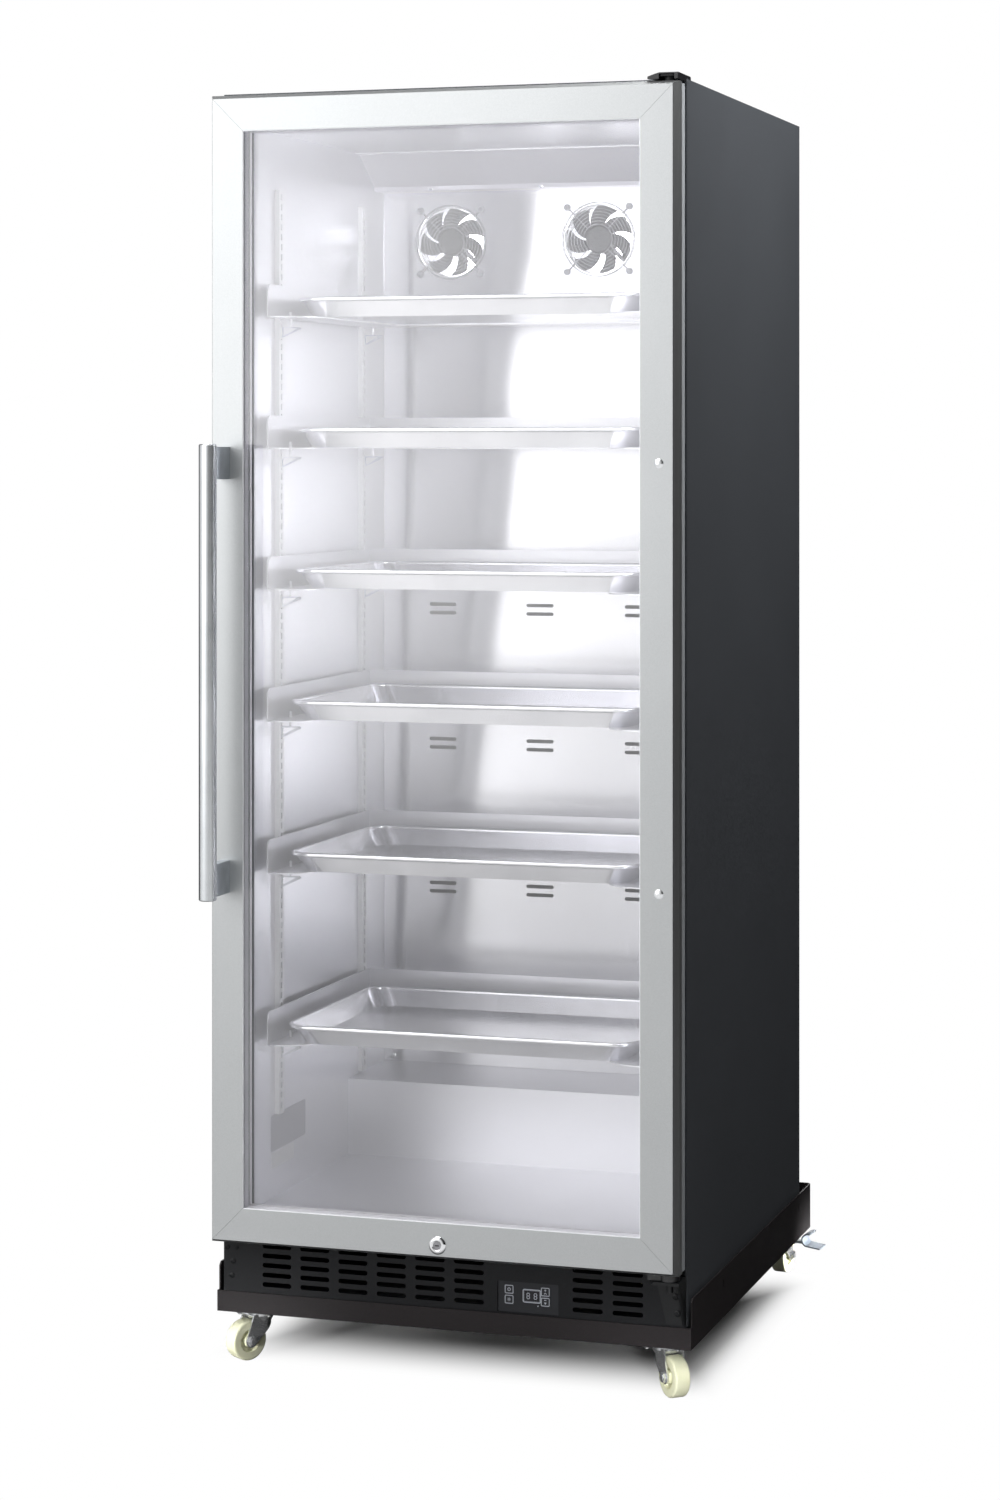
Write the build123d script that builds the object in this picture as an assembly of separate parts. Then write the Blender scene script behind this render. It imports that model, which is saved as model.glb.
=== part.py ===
from build123d import *
import math
import os

os.makedirs("parts", exist_ok=True)

# Everything is in millimetres, with +Z up, the door facing -Y and the floor at Z = 0.
# The origin lies on the floor under the middle of the whole assembly.
door_front = -334.25

# Cabinet
cabinet_width = 600
cabinet_depth = 625
cabinet_bottom = 66.5
cabinet_top = 1591
cabinet_front = door_front + 47.6
cabinet_rear = cabinet_front + cabinet_depth
shell_sheet = 1.5
liner_sheet = 1.2
half_opening = 258
floor_z = 195
ceiling_z = 1548
step_z = 297
step_front = door_front + 385
liner_rear = door_front + 620
foam_wall = 38.8
duct_front = door_front + 528

# Door
door_width = 600
door_bottom = 160
door_height = 1425.5
door_top = door_bottom + door_height
door_depth = 43
frame_width = 45
glass_cover = 38
pane = 4
pane_front = 4.2
pane_gap = 12
gasket_outer = 26
gasket_width = 9
hinge_x = 286
hinge_y = door_front + 22
top_plate = 2.4
hinge_pin_radius = 4.0
running_gap = 0.05

# Handle and lock
handle_x = -278
handle_y = door_front - 56
handle_radius = 11
handle_length = 559
handle_middle_z = 872.5
bracket_spacing = 512.5
lock_z = 178.3

# Shelving
slot_pitch = 12.7
rack_steps = [0, 13, 27, 40, 55, 72]
top_rim_z = 1338
pan_fronts = [95, 92, 88, 76, 72, 66]
pan_width = 457
pan_depth = 330
pan_height = 25
pan_base_width = 424
pan_base_depth = 297
rack_half_width = 247
rack_front = door_front + 62
rack_rear = door_front + 437
rack_sheet = 1.5
rack_height = 42
rack_ledge = 60
stud_length = 10
stud_radius = 2
standard_bottom = 300
standard_top = 1476
standard_depth = 6.5
standard_width = 16
first_slot_z = 310.9
slot_width = 3.5
slot_height = 8
front_standard_y = door_front + 124
rear_standard_y = door_front + 432

# Fans on the rear duct panel
fan_z = 1432
fan_centres = {"left": -160, "right": 52}
shaft_radius = 2.5
condenser_fan_x = 122
condenser_fan_z = 156
condenser_fan_radius = 72
guard_radius = 51
lug_pitch = 88

# Grille panel and controls
panel_top = 158
panel_sheet = 2
slot_columns = [-227.25, -176.75, -126.25, -75.75, -25.25, 25.25, 176.75, 227.25]
slot_rows = [101.5, 113.5, 125.5, 137.5, 149.5]
display_x = 100.8
display_z = 110.8
display_width = 78
display_height = 38

# Dolly and casters
dolly_half_width = 306.5
dolly_front = door_front + 43.2
dolly_rear = door_front + 716
dolly_bottom = 64.5
dolly_sheet = 2
dolly_height = 60
lip_height = 26
wheel_radius = 25
wheel_width = 20
caster_trail = 22
kingpin_radius = 5.0
fork_gap = 11.6
fork_sheet = 2
brake_pivot = 19
brake_pivot_z = 46
brake_pin_radius = 2.0
# Caster place on the dolly: x, y behind the door front, direction the wheel trails in degrees
casters = {
    "front_left": (-265, 85, 236),
    "front_right": (265, 85, 311),
    "rear_left": (-265, 688, 96),
    "rear_right": (265, 688, 84),
}


def block(x0, x1, y0, y1, z0, z1):
    return Pos((x0 + x1) / 2, (y0 + y1) / 2, (z0 + z1) / 2) * Box(x1 - x0, y1 - y0, z1 - z0)


def slab_along_y(face, y0, y1):
    """A face drawn in X and Z, filled from y0 to y1."""
    plane = Plane(origin=(0, y1, 0), x_dir=(1, 0, 0), z_dir=(0, -1, 0))
    return extrude(plane * face, amount=y1 - y0)


def slab_along_x(face, x0, x1):
    """A face drawn in Y and Z, filled from x0 to x1."""
    plane = Plane(origin=(x0, 0, 0), x_dir=(0, 1, 0), z_dir=(1, 0, 0))
    return extrude(plane * face, amount=x1 - x0)


def slab_along_z(face, z0, z1):
    """A face drawn in X and Y, filled from z0 to z1."""
    return extrude(Pos(0, 0, z0) * face, amount=z1 - z0)


def outline(*points):
    return make_face(Polyline(*points, close=True))


def rod_y(x, z, radius, y0, y1):
    return Pos(x, (y0 + y1) / 2, z) * Rot(90, 0, 0) * Cylinder(radius, y1 - y0)


def rod_z(x, y, radius, z0, z1):
    return Pos(x, y, (z0 + z1) / 2) * Cylinder(radius, z1 - z0)


def mirrored(shape):
    return mirror(shape, about=Plane.YZ)


def together(*shapes):
    """Separate solids kept side by side in one piece."""
    solids = [solid for shape in shapes for solid in shape.solids()]
    return Compound(children=solids)


# The cabinet

def liner_profile(grow):
    """Side view of the cold room with the step over the compressor, grown outwards."""
    return outline(
        (cabinet_front, floor_z - grow),
        (step_front + grow, floor_z - grow),
        (step_front + grow, step_z - grow),
        (liner_rear + grow, step_z - grow),
        (liner_rear + grow, ceiling_z + grow),
        (cabinet_front, ceiling_z + grow),
    )


def inner_liner():
    outer = slab_along_x(liner_profile(liner_sheet), -half_opening - liner_sheet, half_opening + liner_sheet)
    room = slab_along_x(liner_profile(0), -half_opening, half_opening)
    return outer - room


def cabinet_shell():
    half = cabinet_width / 2
    outer = block(-half, half, cabinet_front, cabinet_rear, cabinet_bottom, cabinet_top)
    outer = fillet(outer.edges().filter_by(Axis.Z), 3)
    inside = block(
        -half + shell_sheet, half - shell_sheet,
        cabinet_front + shell_sheet, cabinet_rear - shell_sheet,
        cabinet_bottom + shell_sheet, cabinet_top - shell_sheet,
    )
    mouth = block(
        -half_opening - liner_sheet, half_opening + liner_sheet,
        cabinet_front - 1, cabinet_front + 5,
        floor_z - liner_sheet, ceiling_z + liner_sheet,
    )
    air_inlet = block(-280, 280, cabinet_front - 1, cabinet_front + 5, 78, 152)
    service_hole = block(-262, 262, cabinet_rear - 5, cabinet_rear + 1, 78, 246)
    lock_slot = slab_along_y(Pos(0, lock_z) * SlotOverall(32, 11), cabinet_front - 1, cabinet_front + 5)
    return outer - inside - mouth - air_inlet - service_hole - lock_slot


def insulation_foam():
    bottom = floor_z - liner_sheet - foam_wall
    step_back = step_front + foam_wall
    step_under = step_z - liner_sheet - foam_wall
    front = cabinet_front + shell_sheet
    rear = cabinet_rear - shell_sheet
    top = cabinet_top - shell_sheet
    half = cabinet_width / 2 - shell_sheet
    side = outline(
        (front, bottom), (step_back, bottom), (step_back, step_under),
        (rear, step_under), (rear, top), (front, top),
    )
    foam = slab_along_x(side, -half, half)
    foam -= slab_along_x(liner_profile(liner_sheet), -half_opening - liner_sheet, half_opening + liner_sheet)
    lock_pocket = block(-19, 19, front, front + 11, lock_z - 14, lock_z + 14)
    return foam - lock_pocket


def rear_cover():
    """Louvred cover of the machine compartment, with the grommet where the supply cord would leave."""
    y0 = cabinet_rear
    cover = slab_along_y(Pos(0, 162) * RectangleRounded(548, 184, 6), y0, y0 + shell_sheet)
    for x in (-150, 110):
        for row in range(7):
            slot = Pos(x, 108 + 17 * row) * SlotOverall(150, 6)
            cover -= slab_along_y(slot, y0 - 1, y0 + 3)
    gland = rod_y(-250, 92, 9, y0, y0 + 6) - rod_y(-250, 92, 4, y0 - 1, y0 + 7)
    return cover - rod_y(-250, 92, 4, y0 - 1, y0 + 3) + gland


def duct_panel():
    """Stainless rear wall of the cold room, with the fan holes and paired air slots."""
    half = half_opening - 0.3
    panel = block(-half, half, duct_front, duct_front + liner_sheet, step_z + 0.2, 1504)
    for x in fan_centres.values():
        panel -= rod_y(x, fan_z, guard_radius - 3, duct_front - 1, duct_front + 3)
    for x in (-171, -31, 109):
        for z in (926, 740, 541):
            for side in (-1, 1):
                slot = Pos(x, z + side * 5.8) * SlotOverall(39, 5)
                panel -= slab_along_y(slot, duct_front - 1, duct_front + 3)
    return panel


def ceiling_baffle():
    """Inclined deflector from the ceiling to the top of the duct panel, bent from one sheet."""
    y0 = door_front + 412
    line = Polyline(
        (y0, ceiling_z - 0.9),
        (y0 + 16, ceiling_z - 0.9),
        (door_front + 488, 1507),
        (door_front + 491, 1502),
        (duct_front - 0.4, 1502),
    )
    band = trace(line, line_width=1.2)
    return slab_along_x(band, -half_opening + 0.4, half_opening - 0.4)


def comb(width, depth, pitch, fin):
    """Plan of a finned block: a solid core with fins standing out at the front and back."""
    count = int(width // pitch) + 1
    fins = GridLocations(pitch, 1, count, 1) * Rectangle(fin, depth)
    return Rectangle(width, depth - 16) + fins


def return_bend(x, y, z, spacing, along_z):
    """Flattened return bend that joins two tubes of a coil."""
    turn = 90 if along_z else 0
    loop = SlotOverall(spacing + 10, 10, rotation=turn) - SlotOverall(spacing - 2, 2, rotation=turn)
    return slab_along_x(Pos(y, z) * loop, x - 5, x + 5)


def evaporator_coil():
    """Finned coil behind the duct panel, with return bends at both ends."""
    width = 440
    middle = duct_front + 51
    coil = slab_along_z(Pos(0, middle) * comb(width, 58, 20, 1.2), 1080, 1340)
    for row in range(5):
        coil += return_bend(-width / 2 - 5, middle, 1110 + 50 * row, 26, False)
    for row in range(4):
        coil += return_bend(width / 2 + 5, middle - 13, 1135 + 50 * row, 50, True)
    for x in (-150, 150):
        coil += block(x - 12, x + 12, middle + 29, liner_rear, 1120, 1300)
    return coil


def fan_guard(x):
    """Round wire guard: fine rings on four diagonal spokes that end in round lugs on the panel."""
    y1 = duct_front - 2.4
    wire = 0.8
    rings = 8
    inner = 20
    pitch = (guard_radius - wire - inner) / (rings - 1)
    ear = lug_pitch / 2
    reach = math.hypot(ear, ear)
    guard = None
    for angle in (45, 135, 225, 315):
        spoke = Pos(x, fan_z) * Rot(0, 0, angle) * Pos((inner + reach) / 2, 0) * Rectangle(reach - inner, 1.4)
        lug = Pos(x, fan_z) * Rot(0, 0, angle) * Pos(reach, 0) * Circle(4.5)
        arm = slab_along_y(spoke, y1, y1 + wire) + slab_along_y(lug, y1, duct_front)
        guard = arm if guard is None else guard + arm
    for number in range(rings):
        radius = inner + pitch * number
        guard += slab_along_y(Pos(x, fan_z) * (Circle(radius + wire) - Circle(radius)), y1 - wire, y1 + 0.2)
    return guard


def fan_housing(x):
    """Square fan body with its round throat and the motor held on four struts."""
    y0 = duct_front + liner_sheet
    y1 = y0 + 32
    body = slab_along_y(Pos(x, fan_z) * RectangleRounded(104, 104, 8), y0, y1)
    body -= rod_y(x, fan_z, 48, y0 - 1, y1 + 1)
    for angle in (45, 135):
        strut = Pos(x, fan_z) * Rot(0, 0, angle) * Rectangle(110, 6)
        body += slab_along_y(strut, y1 - 4, y1)
    motor = rod_y(x, fan_z, 19, y1 - 12, y1)
    return body + motor + rod_y(x, fan_z, shaft_radius, y1 - 24, y1 - 12)


def fan_rotor(x, z, y0, tip_radius, hub_radius, depth, blades):
    """Axial rotor: a hub on the motor shaft and wide swept blades, each lofted through three sections."""
    hub = rod_y(x, z, hub_radius, y0, y0 + depth)
    rotor = chamfer(hub.edges().group_by(Axis.Y)[0], 2)
    rotor -= slab_along_y(Pos(x, z) * (Circle(hub_radius - 4) - Circle(hub_radius - 5.5)), y0 - 1, y0 + 0.8)
    root = hub_radius - 2
    # Share of the blade's length, pitch from the plane of rotation, sweep, share of the blade spacing
    stations = ((0.0, 42, 0, 0.88), (0.5, 31, -13, 0.78), (1.02, 24, -31, 0.66))
    for blade in range(blades):
        sections = []
        for share, pitch, swept, cover in stations:
            radius = root + share * (tip_radius - root)
            chord = cover * 2 * math.pi * radius / blades / math.cos(math.radians(pitch))
            place = Pos(x, y0 + depth / 2, z) * Rot(0, -360 * blade / blades - swept, 0)
            place *= Pos(radius, 0, 0) * Rot(0, 90, 0) * Rot(0, 0, pitch)
            sections.append((place * Rectangle(chord, 1.5)).face())
        rotor += loft(sections)
    rotor &= rod_y(x, z, tip_radius, y0, y0 + depth)
    return rotor - rod_y(x, z, shaft_radius + running_gap, y0 + 6, y0 + depth + 1)


def shelf_standard(side, y):
    """Upright channel on a side wall of the cold room, slotted all the way up for the shelf clips."""
    wall = half_opening
    face = wall - standard_depth
    half = standard_width / 2
    fold = half - 1.2
    channel = outline(
        (-wall, y - half), (-face, y - half), (-face, y + half), (-wall, y + half),
        (-wall, y + fold), (-face - 1.2, y + fold), (-face - 1.2, y - fold), (-wall, y - fold),
    )
    rail = slab_along_z(channel, standard_bottom, standard_top)
    count = int((standard_top - first_slot_z) // slot_pitch) + 1
    middle = first_slot_z + slot_pitch * (count - 1) / 2
    slots = Sketch() + GridLocations(1, slot_pitch, 1, count) * Rectangle(slot_width, slot_height)
    rail -= slab_along_x(Pos(y, middle) * slots, -face - 3, -face + 1)
    return mirrored(rail) if side > 0 else rail


def rim_heights():
    return [top_rim_z - slot_pitch * step for step in rack_steps]


def flange_bottom(rim_z):
    return rim_z - pan_height - rack_sheet


def shelf_clip(side, y, top):
    """Triangular shelf clip bent from strip, with its two tongues through the slots of the standard."""
    tip = 26
    drop = 15
    loop = outline((0, 0), (tip - 2, 0), (tip, -1.4), (tip - 1, -3.4), (0, -drop))
    loop -= outline((1.8, -1.8), (tip - 6, -1.8), (1.8, -drop + 3.4))
    for z in (-2.4, -drop + 3.4):
        loop += Pos(-1.6, z) * Rectangle(3.2, 2.4)
    clip = slab_along_y(Pos(-half_opening + standard_depth, top) * loop, y - 1.5, y + 1.5)
    return mirrored(clip) if side > 0 else clip


def pan_rack(rim_z):
    """Three-sided sheet rack: ledges under the pan, upright sides and rear wall, and locating studs."""
    half = rack_half_width
    depth = rack_rear - rack_front
    middle = (rack_front + rack_rear) / 2
    plan = Pos(0, middle) * Rectangle(2 * half, depth)
    plan -= Pos(0, middle - rack_ledge) * Rectangle(2 * (half - rack_ledge), depth)
    ledge = fillet(plan.vertices().group_by(Axis.Y)[0].sort_by(Axis.X)[1:3], rack_ledge - 12)
    rack = slab_along_z(ledge, 0, rack_sheet)
    side = Pos(middle, rack_height / 2) * Rectangle(depth, rack_height)
    side = fillet(side.vertices().group_by(Axis.X)[0].sort_by(Axis.Y)[-1], 9)
    wall = slab_along_x(side, -half, -half + rack_sheet)
    rack += wall + mirrored(wall)
    rack += block(-half, half, rack_rear - rack_sheet, rack_rear, 0, rack_height)
    for x in (-half + 8, half - 8):
        for y in (front_standard_y, rear_standard_y):
            rack += rod_z(x, y, stud_radius, -stud_length + 0.3, 9)
    return Pos(0, 0, flange_bottom(rim_z)) * rack


def pan_section(width, depth, corner, z):
    return (Pos(0, 0, z) * RectangleRounded(width, depth, corner)).face()


def sheet_pan(front, rim_z):
    """Baking sheet with tapered walls, round corners and a rolled rim over a wire."""
    bead = 3
    wall = 1
    corner = 28
    top = pan_height - bead
    mouth_width, mouth_depth = pan_width - 3 * bead, pan_depth - 3 * bead
    outside = loft([
        pan_section(pan_base_width, pan_base_depth, corner + 2, 0),
        pan_section(mouth_width, mouth_depth, corner, top),
    ])
    inside = loft([
        pan_section(pan_base_width - 2 * wall, pan_base_depth - 2 * wall, corner + 1, wall),
        pan_section(mouth_width - 2 * wall, mouth_depth - 2 * wall, corner - 1, top),
    ])
    centre_line = Pos(0, 0, top) * RectangleRounded(pan_width - 2 * bead, pan_depth - 2 * bead, corner).wire()
    rim = sweep(Plane(origin=centre_line @ 0, z_dir=centre_line % 0) * Circle(bead), path=centre_line)
    pan = outside - inside + rim
    return Pos(0, door_front + front + pan_depth / 2, rim_z - pan_height) * pan


# The machine compartment

def compressor():
    """Hermetic compressor: welded pot on a foot plate with rubber mounts, and its three pipe stubs."""
    floor = cabinet_bottom + shell_sheet
    x, y = -150, door_front + 560
    half_profile = make_face([
        Polyline((0, 0), (48, 0)),
        RadiusArc((48, 0), (76, 26), -28),
        Polyline((76, 26), (76, 78), (81, 78), (81, 82), (76, 82), (76, 122)),
        RadiusArc((76, 122), (34, 154), -42),
        Polyline((34, 154), (0, 154), (0, 0)),
    ])
    pot = revolve(Plane.XZ * half_profile, axis=Axis.Z)
    pot = Pos(x, y, floor + 16) * pot
    feet = slab_along_z(Pos(x, y) * RectangleRounded(196, 118, 12), floor + 12, floor + 16)
    for dx in (-84, 84):
        for dy in (-46, 46):
            feet += rod_z(x + dx, y + dy, 9, floor, floor + 20)
    stubs = rod_z(x - 62, y - 34, 4, floor + 60, floor + 150)
    stubs += rod_z(x + 58, y - 36, 3, floor + 60, floor + 140)
    box = Pos(x, y - 78, floor + 66) * Box(62, 34, 56)
    return pot + feet + stubs + box


def condenser():
    """Finned condenser block with return bends, fan shroud, and the fan motor on its bracket."""
    x, z = condenser_fan_x, condenser_fan_z
    front = step_front + foam_wall + 14
    unit = slab_along_z(Pos(x, front + 18) * comb(240, 36, 12, 1), 76, 238)
    for side in (-1, 1):
        for row in range(4):
            unit += return_bend(x + side * 125, front + 18, 96 + 40 * row + 6 * side, 16, False)
    plate = Pos(x, z) * (RectangleRounded(250, 170, 8) - Circle(condenser_fan_radius + 4))
    unit += slab_along_y(plate, front + 36, front + 38)
    unit += block(x - 110, x + 110, front + 12, front + 38, cabinet_bottom + shell_sheet, 76)
    arm = Pos(x, front + 57) * (Rectangle(190, 42) - Pos(0, -3) * Rectangle(184, 42))
    unit += slab_along_z(arm, z - 7, z + 7)
    motor = rod_y(x, z, 24, front + 72, front + 104)
    return unit + motor + rod_y(x, z, shaft_radius, front + 52, front + 72)


def condenser_fan_rotor():
    front = step_front + foam_wall + 14
    return fan_rotor(condenser_fan_x, condenser_fan_z, front + 46, condenser_fan_radius, 22, 20, 5)


# The front panel and controls

def grille_panel():
    """Pressed front panel with rows of rounded slots and the window for the controls."""
    half = cabinet_width / 2 - 1.5
    front = cabinet_front - panel_sheet
    panel = block(-half, half, front, cabinet_front, cabinet_bottom + 0.4, panel_top)
    slots = [Pos(x, z) * SlotOverall(38.5, 6) for x in slot_columns for z in slot_rows]
    panel -= slab_along_y(Sketch() + slots, front - 1, cabinet_front + 1)
    window = Pos(display_x, display_z) * RectangleRounded(display_width, display_height, 1.5)
    return panel - slab_along_y(window, front - 1, cabinet_front + 1)


button_size = (11.4, 10.8)
button_centres = {
    "power": (-24.4, 8.9),
    "light": (-24.4, -3.4),
    "up": (21.8, 8.8),
    "down": (21.8, -3.5),
}


def control_panel():
    """Control module behind the window: recessed face, display well and a pocket for each key."""
    face = cabinet_front
    module = Pos(display_x, face + 9, display_z) * Box(display_width + 10, 18, display_height + 10)
    well = Pos(display_x + 3.8, display_z + 2.4) * RectangleRounded(22, 15.5, 1)
    module -= slab_along_y(well, face - 1, face + 0.6)
    width, height = (size + 0.8 for size in button_size)
    for dx, dz in button_centres.values():
        pocket = Pos(display_x + dx, display_z + dz) * RectangleRounded(width, height, 1.2)
        module -= slab_along_y(pocket, face - 1, face + 3)
    return module


def key(name):
    dx, dz = button_centres[name]
    face = cabinet_front
    cap = Pos(display_x + dx, display_z + dz) * RectangleRounded(button_size[0], button_size[1], 0.9)
    return slab_along_y(cap, face - 0.3, face + 2)


# The door

def member_profile():
    """Section of the frame extrusion, measured inwards from the door's edge and back from its front."""
    section = outline(
        (5, 0), (45, 0), (45, 4), (38, 4), (38, 24.6), (45, 24.6), (45, 32),
        (39, door_depth), (1, door_depth), (1, 25), (0, 25), (0, 11),
    )
    section -= outline((7.5, 2), (35, 2), (35, 15), (3, 15), (3, 12))
    return section - outline((4, 29), (41, 29), (41, 31), (36.5, 40.5), (4, 40.5))


def frame_member(start, end, inwards):
    """One mitred length of extrusion along the door's edge, with a hairline at each mitre."""
    hairline = 0.15
    length = math.dist(start, end)
    along = ((end[0] - start[0]) / length, (end[1] - start[1]) / length)
    edge = Plane(
        origin=(start[0], door_front, start[1]),
        x_dir=(inwards[0], 0, inwards[1]),
        z_dir=(along[0], 0, along[1]),
    )
    section = member_profile()
    if edge.y_dir.Y < 0:
        section = mirror(section, about=Plane.XZ)
    bar = extrude(edge * section, amount=length)

    def corner(point, step, depth):
        return tuple(point[i] + along[i] * step * (hairline + depth) + inwards[i] * depth for i in (0, 1))

    mitred = outline(corner(start, 1, 0), corner(end, -1, 0), corner(end, -1, 50), corner(start, 1, 50))
    return bar & slab_along_y(mitred, door_front - 1, door_front + door_depth + 1)


def hinge_bores():
    radius = hinge_pin_radius + running_gap
    top = rod_z(hinge_x, hinge_y, radius, door_top - 24, door_top + 5)
    bottom = rod_z(hinge_x, hinge_y, radius, door_bottom - 10, door_bottom + 24)
    return top + bottom


def door_stiles():
    half = door_width / 2
    left = frame_member((-half, door_bottom), (-half, door_top), (1, 0))
    right = frame_member((half, door_bottom), (half, door_top), (-1, 0))
    right -= hinge_bores()
    for side in (-1, 1):
        z = handle_middle_z + side * bracket_spacing / 2
        right -= rod_y(-handle_x, z, 3.6, door_front - 1, door_front + 12)
    return together(left, right)


def door_rails():
    half = door_width / 2
    bottom = frame_member((-half, door_bottom), (half, door_bottom), (0, 1))
    top = frame_member((-half, door_top), (half, door_top), (0, -1))
    bottom -= hinge_bores()
    bottom -= rod_y(0, lock_z, 7.1, door_front - 1, door_front + door_depth + 1)
    top -= hinge_bores()
    return together(bottom, top)


def hinge_shoe():
    """Bearing block under the hinge corner of the door, round about the pin and reaching inwards."""
    shape = Pos(hinge_x, hinge_y) * Circle(12) + Pos(hinge_x - 13, hinge_y) * Rectangle(26, 14)
    shoe = slab_along_z(shape, door_bottom - 7.4, door_bottom)
    return shoe - hinge_bores()


def ring_around_door(outer_inset, width, y0, y1, corner):
    centre = Pos(0, (door_bottom + door_top) / 2)
    outer = RectangleRounded(door_width - 2 * outer_inset, door_height - 2 * outer_inset, corner + width)
    inner_inset = outer_inset + width
    inner = RectangleRounded(door_width - 2 * inner_inset, door_height - 2 * inner_inset, corner)
    return slab_along_y(centre * (outer - inner), y0, y1)


def door_gasket():
    """Magnetic gasket: a wide foot on the frame and a narrower bellows towards the cabinet."""
    foot = ring_around_door(gasket_outer, gasket_width, door_front + door_depth, door_front + 44.6, 1)
    narrow = 1.2
    return foot + ring_around_door(
        gasket_outer + narrow, gasket_width - 2 * narrow, door_front + 44.6, door_front + 47.3, 1)


def glass_panes():
    half = door_width / 2 - glass_cover - 0.2
    z0, z1 = door_bottom + glass_cover + 0.2, door_top - glass_cover - 0.2
    front = door_front + pane_front
    back = front + pane + pane_gap
    return together(
        block(-half, half, front, front + pane, z0, z1),
        block(-half, half, back, back + pane, z0, z1),
    )


def glazing_spacer():
    y0 = door_front + pane_front + pane
    centre = Pos(0, (door_bottom + door_top) / 2)
    outer = Rectangle(door_width - 2 * 39, door_height - 2 * 39)
    inner = Rectangle(door_width - 2 * frame_width, door_height - 2 * frame_width)
    return slab_along_y(centre * (outer - inner), y0, y0 + pane_gap)


def handle_bar():
    half = handle_length / 2
    bar = rod_z(handle_x, handle_y, handle_radius, handle_middle_z - half, handle_middle_z + half)
    return chamfer(bar.edges().filter_by(GeomType.CIRCLE), 1.2)


def handle_brackets():
    """Flat stand-offs from the frame to the bar, hollowed to fit the round bar."""
    brackets = []
    bar = rod_z(handle_x, handle_y, handle_radius, 0, cabinet_top)
    for side in (-1, 1):
        z = handle_middle_z + side * bracket_spacing / 2
        bracket = block(handle_x - 6, handle_x + 6, handle_y + 4, door_front, z - 20, z + 20)
        brackets.append(bracket - bar)
    return together(*brackets)


def hole_plugs():
    """Domed plugs in the spare handle holes of the hinge-side stile."""
    plugs = []
    dome = 10.2
    for side in (-1, 1):
        z = handle_middle_z + side * bracket_spacing / 2
        head = rod_y(-handle_x, z, 5.8, door_front - 3, door_front)
        head &= Pos(-handle_x, door_front - 1.8 + dome, z) * Sphere(dome)
        plugs.append(head + rod_y(-handle_x, z, 3.4, door_front, door_front + 9))
    return together(*plugs)


def lock_body():
    """Round lock case through the bottom rail, with a domed collar."""
    profile = make_face([
        Polyline((5.2, -46), (7, -46), (7, 0), (11, 0), (11, 0.8)),
        ThreePointArc((11, 0.8), (9, 2.4), (6.4, 3)),
        Polyline((6.4, 3), (5.2, 2.4), (5.2, -46)),
    ])
    case = revolve(Plane.XZ * profile, axis=Axis.Z)
    return Pos(0, door_front, lock_z) * Rot(90, 0, 0) * case


def lock_plug():
    """Turning plug with its keyhole, and the flat bolt at the rear that turns behind the cabinet face."""
    plug = rod_y(0, lock_z, 5.15, door_front - 2.2, door_front + 46)
    keyhole = Pos(0, lock_z) * SlotOverall(5.4, 1.3)
    plug -= slab_along_y(keyhole, door_front - 3, door_front + 12)
    neck = rod_y(0, lock_z, 3, door_front + 46, door_front + 52)
    bolt = slab_along_y(Pos(0, lock_z) * SlotOverall(24, 6), door_front + 52, door_front + 55)
    return plug + neck + bolt


# The hinges

def top_hinge_bracket():
    plate = Pos(285.5, door_front + 38.5) * RectangleRounded(23, 57, 5)
    plate = slab_along_z(plate, cabinet_top, cabinet_top + top_plate)
    pin = rod_z(hinge_x, hinge_y, hinge_pin_radius, door_top - 22, cabinet_top + top_plate)
    collar = rod_z(hinge_x, hinge_y, 7, door_top + 0.5, cabinet_top)
    return plate + pin + collar


def bottom_hinge_bracket():
    """Folded bracket on the cabinet front: tapering leg, shelf for the pin and side gusset."""
    back = cabinet_front - panel_sheet
    leg = slab_along_y(outline((262, 152), (300, 152), (300, 94), (276, 94)), back - 3, back)
    nose = hinge_y - 12
    plan = outline((262, back), (262, nose + 6), (268, nose), (300, nose), (300, back))
    shelf = slab_along_z(plan, 148, 152)
    gusset = slab_along_x(outline((nose, 152), (back, 152), (back, 94), (back - 6, 94)), 297, 300)
    pin = rod_z(hinge_x, hinge_y, hinge_pin_radius, 138, door_bottom + 22)
    return leg + shelf + gusset + pin


def hinge_brackets():
    return together(top_hinge_bracket(), bottom_hinge_bracket())


def top_hinge_cover():
    """Low cap over the top hinge: sloping towards the middle of the door, open at the front over the pin."""
    left, right = 262, 299.5
    front, rear = door_front + 7.5, door_front + 70
    skirt = cabinet_top - 3.5
    crown = cabinet_top + 4.4
    profile = outline(
        (left, skirt), (right, skirt), (right, crown), (left + 14, crown), (left, cabinet_top - 0.5),
    )
    cap = slab_along_y(profile, front, rear)
    cap = chamfer(cap.edges().filter_by(Axis.X).group_by(Axis.Z)[-1], 1.8)
    hollow = cabinet_top + top_plate + 0.4
    cap -= block(left + 11, right - 2, front + 2, rear - 2, skirt - 1, hollow)
    cap -= block(left - 1, right + 1, cabinet_front, rear + 1, skirt - 1, cabinet_top)
    return cap - block(hinge_x - 10, hinge_x + 9, front - 1, front + 3, skirt - 1, hollow)


def light_strip():
    """Upright lamp channel inside the hinge-side front corner of the cold room."""
    x0, x1 = half_opening - 11, half_opening
    y0, y1 = cabinet_front + 3, cabinet_front + 14
    return slab_along_z(outline((x0, y0), (x1, y0), (x1, y1), (x1 - 4, y1), (x0, y0 + 4)), 262, 1500)


# The dolly

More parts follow.
